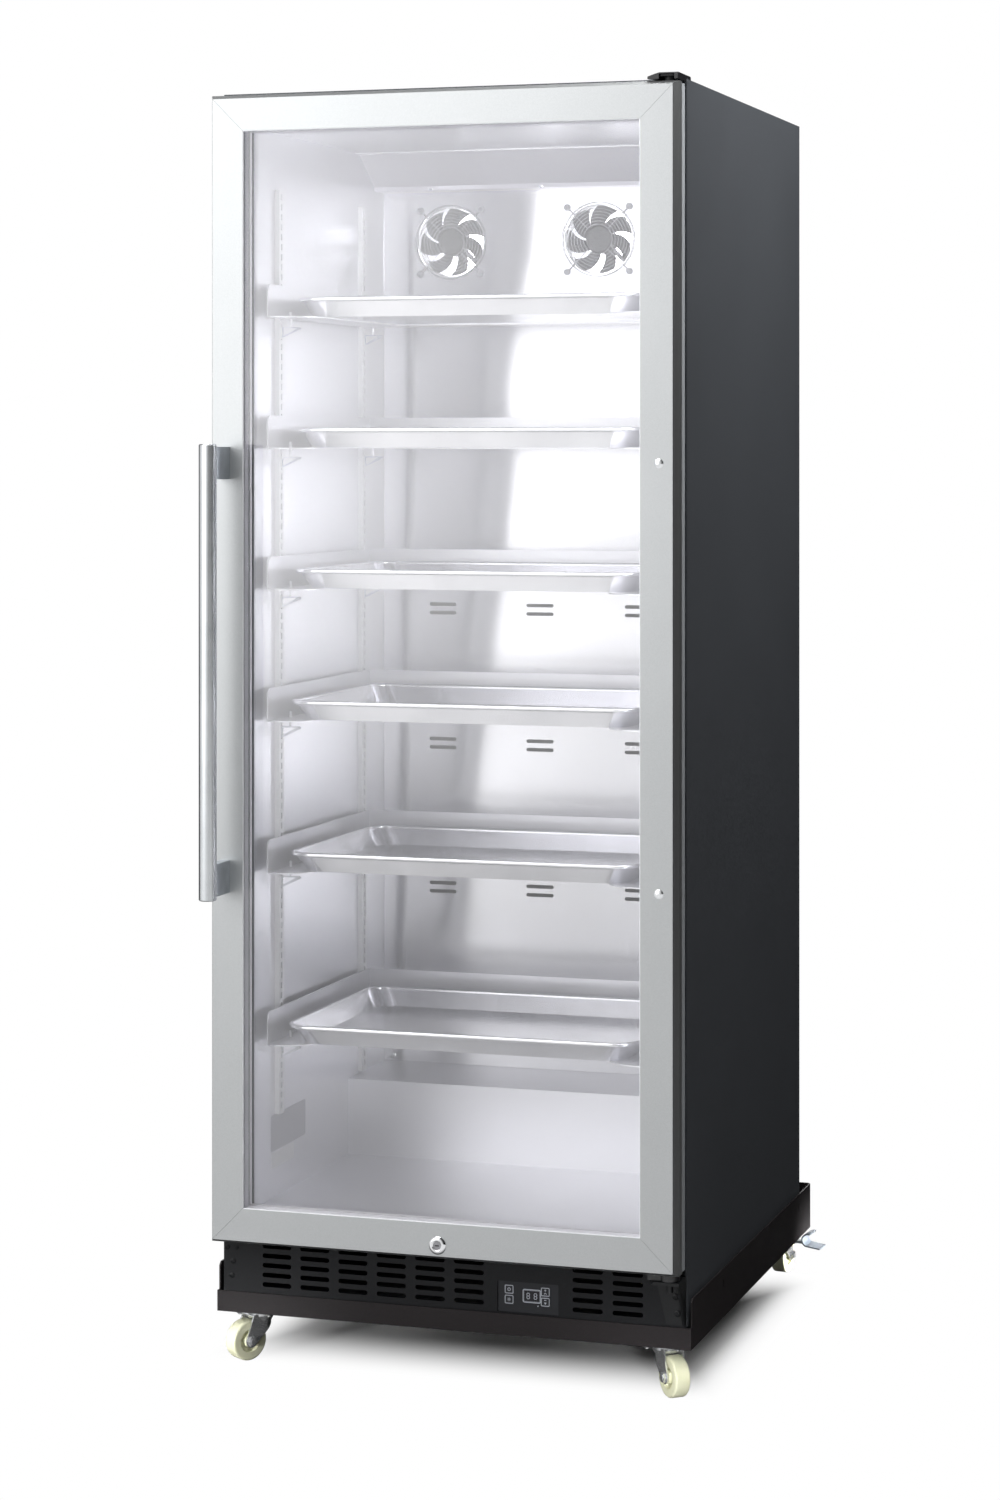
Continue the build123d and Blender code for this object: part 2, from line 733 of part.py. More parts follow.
def dolly_tray():
    """Folded tray: low front lip, high sides and rear, with slots for the tie screws."""
    half = dolly_half_width
    top = dolly_bottom + dolly_height
    middle = (dolly_front + dolly_rear) / 2
    depth = dolly_rear - dolly_front
    outside = Pos(0, middle) * Rectangle(2 * half, depth)
    outside = fillet(outside.vertices().group_by(Axis.Y)[-1], 7)
    inside = offset(outside, -dolly_sheet)
    tray = slab_along_z(outside, dolly_bottom, top)
    tray -= slab_along_z(inside, dolly_bottom + dolly_sheet, top + 1)
    side = outline(
        (dolly_front, dolly_bottom), (dolly_rear, dolly_bottom), (dolly_rear, top), (dolly_front + 11, top),
        (dolly_front + 6.5, top - 4.5), (dolly_front + 6.5, dolly_bottom + lip_height),
        (dolly_front, dolly_bottom + lip_height),
    )
    tray &= slab_along_x(side, -half, half)
    for y in (door_front + 207, door_front + 637):
        slot = Pos(y, 105.8) * SlotOverall(10, 3.2, rotation=90)
        tray -= slab_along_x(slot, -half - 1, half + 1)
    return tray


def caster_plate(x, y):
    """Top plate with the bearing race and the pocket that holds the head of the kingpin."""
    plate = slab_along_z(Pos(x, y) * RectangleRounded(52, 52, 6), dolly_bottom - 4, dolly_bottom)
    plate += rod_z(x, y, 19, dolly_bottom - 7, dolly_bottom - 4)
    plate -= rod_z(x, y, kingpin_radius + running_gap, dolly_bottom - 8, dolly_bottom - 4)
    return plate - rod_z(x, y, kingpin_radius + 2.4, dolly_bottom - 4, dolly_bottom - 0.7)


def caster_place(name):
    x, y, trail_angle = casters[name]
    return Pos(x, door_front + y, 0) * Rot(0, 0, trail_angle)


def caster_fork(name):
    """Pressed fork: a dished round head that narrows to a round nose and two flat legs, open behind."""
    top = dolly_bottom - 7.4
    dish = 11
    head_radius = 18.2
    half = fork_gap + fork_sheet
    fork = slab_along_z(Circle(half) + Pos(17, 0) * Rectangle(34, 2 * half), 10, top)
    fork -= slab_along_z(Circle(fork_gap) + Pos(20, 0) * Rectangle(40, 2 * fork_gap), 9, top - fork_sheet)
    cone = outline(
        (0, top), (head_radius, top), (head_radius, top - 2.5), (half, top - dish), (0, top - dish))
    hollow = outline(
        (0, top - fork_sheet), (head_radius - 2.4, top - fork_sheet), (fork_gap, top - dish), (0, top - dish))
    fork += revolve(Plane.XZ * cone, axis=Axis.Z)
    fork -= revolve(Plane.XZ * hollow, axis=Axis.Z)
    axle_end = Pos(caster_trail, wheel_radius) * Circle(8)
    head = Polyline((-head_radius, top - 7), (-head_radius, top), (head_radius, top), (20.5, top - 7))
    fork &= slab_along_y(make_hull(axle_end.edges() + head.edges()), -20, 20)
    fork -= rod_y(caster_trail, wheel_radius, wheel_radius + 1.6, -fork_gap, fork_gap)
    pin_head = dolly_bottom - 3.6
    fork += rod_z(0, 0, kingpin_radius, top - 1, pin_head)
    fork += rod_z(0, 0, kingpin_radius + 2, pin_head, pin_head + 2.4)
    fork += rod_y(caster_trail, wheel_radius, 4, -half - 4.6, half + 4.6)
    nut = Pos(caster_trail, wheel_radius) * RegularPolygon(6.4, 6)
    fork += slab_along_y(nut, half, half + 3.4) + slab_along_y(nut, -half - 3.4, -half)
    if name.startswith("rear"):
        fork += brake_mount(half, outer_side(name))
    return caster_place(name) * fork


def brake_mount(half, side):
    """Two ears on the outer leg of a fork, with the pin that the brake lever turns on."""
    middle = (half + brake_pivot + 3) / 2
    ears = Pos(middle, brake_pivot_z) * SlotOverall(brake_pivot - half + 5, 8)
    mount = slab_along_x(ears, 8, 10) + slab_along_x(ears, 20, 22)
    mount += Pos(15, brake_pivot, brake_pivot_z) * Rot(0, 90, 0) * Cylinder(brake_pin_radius, 16)
    return turned_out(mount, side)


def outer_side(name):
    """The side of a caster that faces out of the dolly, in the fork's own direction."""
    return -1 if name.endswith("right") else 1


def turned_out(shape, side):
    return shape if side > 0 else mirror(shape, about=Plane.XZ)


def caster_wheel(name):
    """Nylon wheel: rounded tread, flat side rings, a recess round the hub and a hub wider than the tread."""
    bore = 4 + running_gap
    half = wheel_width / 2
    hub = fork_gap - 0.6
    web = 6
    edge = 3
    rim = wheel_radius - edge
    profile = make_face([
        Polyline((bore, -hub), (7.5, -hub), (8.5, -web), (13, -web), (14.5, -half), (rim, -half)),
        RadiusArc((rim, -half), (wheel_radius, edge - half), -edge),
        Line((wheel_radius, edge - half), (wheel_radius, half - edge)),
        RadiusArc((wheel_radius, half - edge), (rim, half), -edge),
        Polyline((rim, half), (14.5, half), (13, web), (8.5, web), (7.5, hub), (bore, hub), (bore, -hub)),
    ])
    wheel = revolve(Plane.XZ * profile, axis=Axis.Z)
    return caster_place(name) * Pos(caster_trail, 0, wheel_radius) * Rot(90, 0, 0) * wheel


def brake_lever(name):
    """Side brake: a hub on the pin, a broad pedal with a release tab above, and a nose beside the tread."""
    hub = Pos(brake_pivot, brake_pivot_z) * Circle(4.2)
    arm = Pos((brake_pivot + 33) / 2, brake_pivot_z) * Rectangle(33 - brake_pivot, 3)
    bore = Pos(brake_pivot, brake_pivot_z) * Circle(brake_pin_radius + running_gap)
    lever = slab_along_x(hub + arm - bore, 10.4, 19.6)
    curve = ThreePointArc((44, 57.5), (33, brake_pivot_z + 1), (38, 41.4))
    band = trace(Curve() + [curve, Line((38, 41.4), (58.5, 38.8))], line_width=2)
    pedal = slab_along_x(band, 8, 36)
    rounded = Pos(22, 0) * RectangleRounded(28, 130, 10)
    lever += pedal & slab_along_z(rounded, 30, 70)
    lever += block(26, 34, fork_gap - 0.4, 35, 40, 43)
    lever = turned_out(lever, outer_side(name))
    return caster_place(name) * lever


def build_all():
    pieces = {
        "cabinet_shell": cabinet_shell(),
        "inner_liner": inner_liner(),
        "insulation_foam": insulation_foam(),
        "rear_cover": rear_cover(),
        "duct_panel": duct_panel(),
        "ceiling_baffle": ceiling_baffle(),
        "evaporator_coil": evaporator_coil(),
        "fan_guards": together(*[fan_guard(x) for x in fan_centres.values()]),
        "fan_housings": together(*[fan_housing(x) for x in fan_centres.values()]),
        "compressor": compressor(),
        "condenser": condenser(),
        "grille_panel": grille_panel(),
        "control_panel": control_panel(),
        "light_strip": light_strip(),
        "top_hinge_cover": top_hinge_cover(),
        "hinge_brackets": hinge_brackets(),
        "door_stiles": door_stiles(),
        "door_rails": door_rails(),
        "hinge_shoe": hinge_shoe(),
        "glass_panes": glass_panes(),
        "glazing_spacer": glazing_spacer(),
        "door_gasket": door_gasket(),
        "handle_bar": handle_bar(),
        "handle_brackets": handle_brackets(),
        "hole_plugs": hole_plugs(),
        "lock_body": lock_body(),
        "lock_plug": lock_plug(),
        "dolly_tray": dolly_tray(),
    }
    for name, x in fan_centres.items():
        pieces["fan_rotor_" + name] = fan_rotor(x, fan_z, duct_front + liner_sheet + 1, 46, 19, 16, 7)
    pieces["condenser_fan_rotor"] = condenser_fan_rotor()
    for name in button_centres:
        pieces[name + "_button"] = key(name)
    standards = [shelf_standard(side, y) for side in (-1, 1) for y in (front_standard_y, rear_standard_y)]
    pieces["shelf_standards"] = together(*standards)
    clips = []
    for rim_z in rim_heights():
        top = flange_bottom(rim_z) - stud_length
        for side in (-1, 1):
            for y in (front_standard_y, rear_standard_y):
                clips.append(shelf_clip(side, y, top))
    pieces["shelf_clips"] = together(*clips)
    for number, (rim_z, front) in enumerate(zip(rim_heights(), pan_fronts), start=1):
        pieces[f"pan_rack_{number}"] = pan_rack(rim_z)
        pieces[f"sheet_pan_{number}"] = sheet_pan(front, rim_z)
    plates = [caster_plate(x, door_front + y) for x, y, angle in casters.values()]
    pieces["caster_plates"] = together(*plates)
    for name in casters:
        pieces["caster_fork_" + name] = caster_fork(name)
        pieces["caster_wheel_" + name] = caster_wheel(name)
        if name.startswith("rear"):
            pieces["brake_lever_" + name] = brake_lever(name)
    return pieces


for node, shape in build_all().items():
    export_step(shape, f"parts/{node}.step")
    print(node, shape.bounding_box())
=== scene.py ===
import math

import bpy
from mathutils import Matrix, Vector


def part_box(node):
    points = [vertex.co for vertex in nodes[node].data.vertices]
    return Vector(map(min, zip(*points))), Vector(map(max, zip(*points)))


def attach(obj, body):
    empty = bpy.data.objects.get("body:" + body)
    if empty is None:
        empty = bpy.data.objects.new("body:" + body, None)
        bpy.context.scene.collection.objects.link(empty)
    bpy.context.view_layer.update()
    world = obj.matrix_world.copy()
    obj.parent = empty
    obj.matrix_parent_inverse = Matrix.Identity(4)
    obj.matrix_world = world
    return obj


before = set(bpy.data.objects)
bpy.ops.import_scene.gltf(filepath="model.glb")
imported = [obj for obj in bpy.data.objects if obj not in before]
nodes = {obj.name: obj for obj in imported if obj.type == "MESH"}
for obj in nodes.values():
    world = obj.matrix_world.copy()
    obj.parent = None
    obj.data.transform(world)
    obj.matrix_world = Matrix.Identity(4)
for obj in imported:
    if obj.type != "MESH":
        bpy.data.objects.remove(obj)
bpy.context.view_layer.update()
mm = 0.001
doorFront = -0.33425          # where the CAD has the front face of the door, in metres
toFront = (0, -1, 0)
toRear = (0, 1, 0)
downwards = (0, 0, -1)
print("frame loaded:", len(nodes), "nodes")


# Modelling helpers

def calm():
    # leaves edit mode and deselects everything
    if bpy.context.object and bpy.context.object.mode != "OBJECT":
        bpy.ops.object.mode_set(mode="OBJECT")
    bpy.ops.object.select_all(action="DESELECT")


def pick(piece):
    # selects one piece alone and makes it the active one
    calm()
    piece.select_set(True)
    bpy.context.view_layer.objects.active = piece


def start(name, primitive, **settings):
    calm()
    getattr(bpy.ops.mesh, f"primitive_{primitive}_add")(**settings)
    piece = bpy.context.active_object
    piece.name = name
    return piece


def pickTop(piece):
    # goes into edit mode with only the faces selected that point up
    leastRise = 0.9
    pick(piece)
    bpy.ops.object.mode_set(mode="EDIT")
    bpy.ops.mesh.select_mode(type="FACE")
    bpy.ops.mesh.select_all(action="DESELECT")
    bpy.ops.object.mode_set(mode="OBJECT")
    for face in piece.data.polygons:
        face.select = face.normal.z > leastRise
    bpy.ops.object.mode_set(mode="EDIT")


def roundOff(piece, width, segments=2):
    # rounds the sharp edges
    sharp = math.radians(40)
    pick(piece)
    bevel = piece.modifiers.new("round", "BEVEL")
    bevel.width = width
    bevel.segments = segments
    bevel.limit_method = "ANGLE"
    bevel.angle_limit = sharp
    bpy.ops.object.modifier_apply(modifier=bevel.name)


def carve(piece, cutter):
    pick(piece)
    cut = piece.modifiers.new("carve", "BOOLEAN")
    cut.operation = "DIFFERENCE"
    cut.solver = "EXACT"
    cut.object = cutter
    bpy.ops.object.modifier_apply(modifier=cut.name)
    bpy.data.objects.remove(cutter)


def join(piece, others):
    pick(piece)
    for other in others:
        other.select_set(True)
    bpy.ops.object.join()
    return piece


def turned(towards):
    # the turn that takes +Z to the given direction
    return Vector((0, 0, 1)).rotation_difference(Vector(towards)).to_matrix().to_4x4()


def copyTo(source, name, place, towards, spin):
    piece = source.copy()
    piece.data = source.data.copy()
    piece.name = name
    bpy.context.scene.collection.objects.link(piece)
    piece.matrix_world = Matrix.Translation(place) @ turned(towards) @ Matrix.Rotation(spin, 4, "Z")
    return piece


def upright(place):
    # turns a piece that lies flat so that it stands at the place with its face to the front
    return Matrix.Translation(place) @ Matrix.Rotation(math.radians(90), 4, "X")


def settle(piece, body, material, angle=35):
    # puts the place into the mesh and ties the piece to its body and finish
    pick(piece)
    bpy.ops.object.transform_apply(location=True, rotation=True, scale=True)
    bpy.ops.object.shade_smooth_by_angle(angle=math.radians(angle))
    piece.data.materials.clear()
    piece.data.materials.append(material)
    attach(piece, body)
    return piece


# Materials

class Signal:
    # a socket that can be used in Python arithmetic
    def __init__(self, wiring, socket):
        self.wiring = wiring
        self.socket = socket

    def reckon(self, operation, first, second):
        return self.wiring.node("ShaderNodeMath", {"operation": operation}, {0: first, 1: second})

    def __add__(self, other):
        return self.reckon("ADD", self, other)

    def __radd__(self, other):
        return self.reckon("ADD", other, self)

    def __sub__(self, other):
        return self.reckon("SUBTRACT", self, other)

    def __rsub__(self, other):
        return self.reckon("SUBTRACT", other, self)

    def __mul__(self, other):
        return self.reckon("MULTIPLY", self, other)

    def __rmul__(self, other):
        return self.reckon("MULTIPLY", other, self)

    def __pow__(self, other):
        return self.reckon("POWER", self, other)

    def __gt__(self, other):
        return self.reckon("GREATER_THAN", self, other)

    def __lt__(self, other):
        return self.reckon("LESS_THAN", self, other)


class Wiring:
    # a node tree, with short ways to add its nodes and link them
    def __init__(self, tree):
        self.tree = tree

    def node(self, kind, settings=None, inputs=None, output=0):
        made = self.tree.nodes.new(kind)
        for key, value in (settings or {}).items():
            if key == "stops":
                for stop, (position, shade) in zip(made.color_ramp.elements, value):
                    stop.position = position
                    stop.color = (shade, shade, shade, 1)
            else:
                setattr(made, key, value)
        for key, value in (inputs or {}).items():
            self.feed(made.inputs[key], value)
        return Signal(self, made.outputs[output])

    def feed(self, socket, value):
        if isinstance(value, Signal):
            self.tree.links.new(value.socket, socket)
        else:
            socket.default_value = value

    def place(self):
        return self.node("ShaderNodeTexCoord", output="Object")

    def stretched(self, scale):
        return self.node("ShaderNodeMapping", inputs={"Vector": self.place(), "Scale": scale})

    def part(self, vector, letter):
        return self.node("ShaderNodeSeparateXYZ", inputs={0: vector}, output=letter)

    def axis(self, letter):
        return self.part(self.place(), letter)

    def vectors(self, operation, inputs, output=0):
        return self.node("ShaderNodeVectorMath", {"operation": operation}, inputs, output)

    def rays(self, kind):
        return self.node("ShaderNodeLightPath", output=kind)

    def noise(self, where, scale, detail=2.0, rough=0.5):
        inputs = {"Vector": where, "Scale": scale, "Detail": detail, "Roughness": rough}
        return self.node("ShaderNodeTexNoise", inputs=inputs)

    def ramp(self, factor, *stops):
        return self.node("ShaderNodeValToRGB", {"stops": stops}, {"Fac": factor})

    def smooth(self, value, limits, bottom=0.0):
        # passes softly from bottom to one between the two limits
        inputs = {"Value": value, "From Min": limits[0], "From Max": limits[1], "To Min": bottom}
        return self.node("ShaderNodeMapRange", {"interpolation_type": "SMOOTHSTEP"}, inputs)

    def blend(self, factor, first, second):
        # a Mix node has its colours on sockets 6 and 7, and their mix on output 2
        inputs = {0: factor, 6: opaque(first), 7: opaque(second)}
        return self.node("ShaderNodeMix", {"data_type": "RGBA"}, inputs, output=2)

    def bump(self, height, distance, strength=1.0, under=None):
        inputs = {"Height": height, "Distance": distance, "Strength": strength}
        if under is not None:
            inputs["Normal"] = under
        return self.node("ShaderNodeBump", inputs=inputs)


class Finish(Wiring):
    # a material; fixed holds the values of its shader that are the same all over
    def __init__(self, name, fixed):
        self.material = bpy.data.materials.new(name)
        self.material.use_nodes = True
        super().__init__(self.material.node_tree)
        self.shader = self.tree.nodes["Principled BSDF"]
        for socket, value in fixed.items():
            self.shader.inputs[socket].default_value = value

    def shade(self, inputs):
        for key, value in inputs.items():
            self.feed(self.shader.inputs[key], value)
        return self.material


def opaque(value):
    return value if isinstance(value, Signal) else (*value, 1.0)


def steel(name, look):
    # drawn metal: long grain along one axis, slow ripples in the sheet, faint clouding
    alongZ = 0.25               # a quarter turn of the brushing
    cloudRough = 0.05
    finish = Finish(name, {
        "Metallic": look.get("metal", 1.0),
        "Anisotropic": look.get("brushed", 0.0),
        "Anisotropic Rotation": alongZ if "brushed" in look else 0.0,
    })
    grain = finish.noise(finish.stretched(look["grain"]), scale=1.0, detail=3.0, rough=0.6)
    cloud = finish.noise(finish.place(), look["cloud"], detail=3.0)
    ripple = finish.noise(finish.stretched(look["ripple"]), scale=1.0, detail=1.0, rough=0.3)
    colour = finish.blend(finish.ramp(cloud, (0.3, 0.0), (0.7, 1.0)), look["dark"], look["light"])
    waves = finish.bump(ripple, look["rippleHeight"])
    if "twist" in look:         # the sheet isn't quite flat: it winds a little from top to bottom
        flatLevel = 1.0
        winding = finish.axis("X") * (finish.axis("Z") - flatLevel)
        waves = finish.bump(winding, look["twist"], under=waves)
    fine = finish.bump(grain, look["grainHeight"], strength=0.6, under=waves)
    rough = look["rough"] + look.get("streak", 0.10) * grain + cloudRough * cloud
    return finish.shade({"Base Color": colour, "Roughness": rough, "Normal": fine})


def paint(name, look):
    # powder coat: pebbled surface with a little mottling
    speckShare = 0.6
    mottleRough, speckRough = 0.14, 0.08
    finish = Finish(name, {"Specular IOR Level": look.get("shine", 0.5)})
    pebbles = finish.noise(finish.place(), look["pebble"], detail=3.0, rough=0.65)
    mottle = finish.noise(finish.place(), look["mottle"], detail=4.0)
    speck = finish.ramp(pebbles, (0.38, 0.0), (0.66, 1.0))
    share = speck * speckShare + mottle * (1 - speckShare)
    return finish.shade({
        "Base Color": finish.blend(share, look["dark"], look["light"]),
        "Roughness": look["rough"] + mottleRough * mottle - speckRough * speck,
        "Normal": finish.bump(pebbles, look["height"], strength=0.7),
    })


def moulded(name, look):
    # injection-moulded plastic with a fine spark-eroded grain
    mottleRough = 0.12
    finish = Finish(name, {"IOR": 1.5, "Specular IOR Level": look.get("shine", 0.5)})
    grain = finish.noise(finish.place(), look.get("grain", 900.0), rough=0.6)
    mottle = finish.noise(finish.place(), look.get("mottle", 40.0), detail=3.0)
    return finish.shade({
        "Base Color": finish.blend(mottle, look["dark"], look["light"]),
        "Roughness": look["rough"] + mottleRough * mottle,
        "Normal": finish.bump(grain, look.get("height", 0.00015), strength=0.4),
    })


def doorFrame(name):
    # satin aluminium in front, a darker plastic rail behind the bevel, pale lining towards the glass;
    # depths count from the front face of the door, in millimetres
    look = {
        "dark": (0.375, 0.386, 0.392), "light": (0.485, 0.497, 0.503), "metal": 0.92, "speckShare": 0.65,
        "rail": (0.41, 0.43, 0.45), "railDepth": 25.4,
        "railLine": (0.09, 0.10, 0.10), "lineStart": 25.2, "lineEnd": 26.2,
        "lining": (0.86, 0.85, 0.89), "liningDepth": 8.4, "side": 0.2565, "below": 0.2035, "above": 1.542,
        "rough": 0.36, "speckRough": 0.10, "railRough": 0.08, "grainHeight": 0.00006,
    }
    finish = Finish(name, {})
    depth = finish.axis("Y") - doorFront
    level = finish.axis("Z")
    grain = finish.noise(finish.place(), scale=1500.0, rough=0.8)
    cloud = finish.noise(finish.place(), scale=5.0)
    speck = finish.ramp(grain, (0.35, 0.0), (0.65, 1.0))
    share = speck * look["speckShare"] + cloud * (1 - look["speckShare"])
    metal = finish.blend(share, look["dark"], look["light"])
    rail = depth > look["railDepth"] * mm
    line = (depth > look["lineStart"] * mm) * (depth < look["lineEnd"] * mm)
    plastic = finish.blend(line, look["rail"], look["railLine"])
    inward = (finish.axis("X") ** 2.0 < look["side"] ** 2) * (level > look["below"]) * (level < look["above"])
    lined = inward * (depth > look["liningDepth"] * mm)
    return finish.shade({
        "Base Color": finish.blend(lined, finish.blend(rail, metal, plastic), look["lining"]),
        "Metallic": (look["metal"] - look["metal"] * rail) * (1 - lined),
        "Roughness": look["rough"] + look["speckRough"] * speck + look["railRough"] * rail,
        "Normal": finish.bump(grain, look["grainHeight"], strength=0.5),
    })


def clearPane(name):
    # thin clear glass: see-through, with a sheen that grows towards grazing angles
    look = {"tint": (0.90, 0.90, 0.92, 1), "film": 0.046, "sheen": 0.95, "growth": 5.0,
            "rough": 0.008, "smear": 0.03}
    finish = Finish(name, {"Base Color": look["tint"], "Metallic": 1.0, "IOR": 1.5})
    facing = finish.node("ShaderNodeLayerWeight", inputs={"Blend": 0.5}, output="Facing")
    smears = finish.noise(finish.stretched((3, 3, 9)), scale=1.0, detail=4.0)
    return finish.shade({
        "Alpha": look["film"] + look["sheen"] * facing ** look["growth"],
        "Roughness": look["rough"] + look["smear"] * smears ** 2.0,
    })


def glowing(name, look):
    # lamp cover with faint ribs across it
    finish = Finish(name, {
        "Base Color": (*look["colour"], 1), "Roughness": look["rough"], "Emission Strength": look["strength"],
    })
    ribs = finish.noise(finish.stretched((400, 400, 8)), scale=1.0, detail=1.0)
    dimmer = tuple(part * look["ribShade"] for part in look["colour"])
    return finish.shade({"Emission Color": finish.blend(ribs, look["colour"], dimmer)})


steelLooks = {
    "liner": {
        "dark": (0.79, 0.79, 0.825), "light": (0.85, 0.85, 0.89), "rough": 0.27, "metal": 0.92, "cloud": 2.0,
        "grain": (8, 8, 900), "grainHeight": 0.000004, "ripple": (2.2, 2.2, 1.2), "rippleHeight": 0.003,
    },
    "ductSheet": {
        "dark": (0.79, 0.79, 0.82), "light": (0.85, 0.85, 0.88), "rough": 0.15, "metal": 0.94, "cloud": 3.0,
        "grain": (9, 8, 700), "grainHeight": 0.000002, "ripple": (3.0, 3, 3.4), "rippleHeight": 0.006,
        "brushed": 1.0, "twist": 0.085, "streak": 0.015,
    },
    # the ceiling baffle: the liner's steel made paler and less metallic, so that the ceiling shows bright;
    # painted light
    "baffleSheetPaintedBright": {
        "dark": (0.88, 0.87, 0.92), "light": (0.95, 0.94, 0.99), "rough": 0.24, "metal": 0.6, "cloud": 2.0,
        "grain": (8, 900, 900), "grainHeight": 0.00001, "ripple": (6, 3, 3), "rippleHeight": 0.002,
    },
    "rackSteel": {
        "dark": (0.76, 0.76, 0.80), "light": (0.86, 0.86, 0.90), "rough": 0.24, "metal": 0.6, "cloud": 8.0,
        "grain": (12, 12, 700), "grainHeight": 0.00002, "ripple": (8, 8, 3), "rippleHeight": 0.0008,
    },
    # the shelf standards: steel made near-white and only a little metallic, so that their flanges show
    # bright; partly the steel's own tone, partly painted highlight
    "standardSteelPaintedBright": {
        "dark": (0.86, 0.86, 0.88), "light": (0.93, 0.93, 0.95), "rough": 0.30, "metal": 0.25, "cloud": 8.0,
        "grain": (12, 12, 700), "grainHeight": 0.00001, "ripple": (8, 8, 3), "rippleHeight": 0.0002,
    },
    "panAluminium": {
        "dark": (0.78, 0.78, 0.81), "light": (0.90, 0.90, 0.93), "rough": 0.16, "metal": 0.95, "cloud": 12.0,
        "grain": (14, 500, 500), "grainHeight": 0.00003, "ripple": (9, 9, 9), "rippleHeight": 0.0012,
    },
    "zinc": {
        "dark": (0.55, 0.57, 0.60), "light": (0.82, 0.83, 0.84), "rough": 0.14, "cloud": 60.0,
        "grain": (300, 300, 300), "grainHeight": 0.00005, "ripple": (40, 40, 40), "rippleHeight": 0.0003,
    },
    "forkZinc": {
        "dark": (0.74, 0.75, 0.77), "light": (0.86, 0.87, 0.88), "rough": 0.11, "metal": 0.8, "cloud": 60.0,
        "grain": (300, 300, 300), "grainHeight": 0.00005, "ripple": (40, 40, 40), "rippleHeight": 0.0003,
    },
    # the lock plug: steel made much darker than the chrome ring around it; painted shade in the lock's recess
    "plugSteelPaintedShade": {
        "dark": (0.20, 0.20, 0.21), "light": (0.34, 0.34, 0.36), "rough": 0.18, "cloud": 60.0,
        "grain": (300, 300, 300), "grainHeight": 0.00003, "ripple": (40, 40, 40), "rippleHeight": 0.0002,
    },
    "handleSteel": {
        "dark": (0.55, 0.575, 0.59), "light": (0.67, 0.69, 0.71), "rough": 0.20, "cloud": 9.0,
        "grain": (900, 900, 6), "grainHeight": 0.00005, "ripple": (9, 9, 4), "rippleHeight": 0.0003,
    },
    "bracketSteel": {
        "dark": (0.42, 0.45, 0.48), "light": (0.60, 0.64, 0.68), "rough": 0.30, "cloud": 30.0,
        "grain": (900, 12, 900), "grainHeight": 0.00005, "ripple": (9, 9, 9), "rippleHeight": 0.0003,
    },
    "chrome": {
        "dark": (0.72, 0.73, 0.75), "light": (0.86, 0.86, 0.87), "rough": 0.05, "cloud": 40.0,
        "grain": (200, 200, 200), "grainHeight": 0.00002, "ripple": (30, 30, 30), "rippleHeight": 0.0001,
    },
    "coilMetal": {
        "dark": (0.42, 0.43, 0.44), "light": (0.66, 0.67, 0.68), "rough": 0.34, "cloud": 30.0,
        "grain": (400, 400, 30), "grainHeight": 0.0001, "ripple": (20, 20, 20), "rippleHeight": 0.0006,
    },
    "guardWire": {
        "dark": (0.32, 0.32, 0.35), "light": (0.44, 0.44, 0.47), "rough": 0.35, "metal": 0.5, "cloud": 60.0,
        "grain": (300, 300, 300), "grainHeight": 0.00002, "ripple": (40, 40, 40), "rippleHeight": 0.0001,
    },
}
paintLooks = {
    "charcoalSide": {
        "dark": (0.060, 0.064, 0.071), "light": (0.092, 0.098, 0.108), "rough": 0.6,
        "pebble": 750.0, "mottle": 9.0, "height": 0.0004, "shine": 0.05,
    },
    "grilleBlack": {
        "dark": (0.005, 0.0055, 0.0065), "light": (0.012, 0.0125, 0.0145), "rough": 0.46,
        "pebble": 900.0, "mottle": 14.0, "height": 0.0003, "shine": 0.18,
    },
    "dollyBrown": {
        "dark": (0.0095, 0.0073, 0.008), "light": (0.021, 0.0167, 0.018), "rough": 0.5,
        "pebble": 800.0, "mottle": 18.0, "height": 0.0004, "shine": 0.25,
    },
    "blackSteel": {
        "dark": (0.005, 0.0055, 0.006), "light": (0.012, 0.013, 0.0145), "rough": 0.36,
        "pebble": 1100.0, "mottle": 30.0, "height": 0.0002, "shine": 0.25,
    },
    "pedalGrey": {
        "dark": (0.22, 0.25, 0.29), "light": (0.34, 0.38, 0.43), "rough": 0.34,
        "pebble": 500.0, "mottle": 60.0, "height": 0.0001,
    },
    "compressorPaint": {
        "dark": (0.008, 0.008, 0.009), "light": (0.018, 0.018, 0.02), "rough": 0.25,
        "pebble": 300.0, "mottle": 25.0, "height": 0.0002,
    },
}
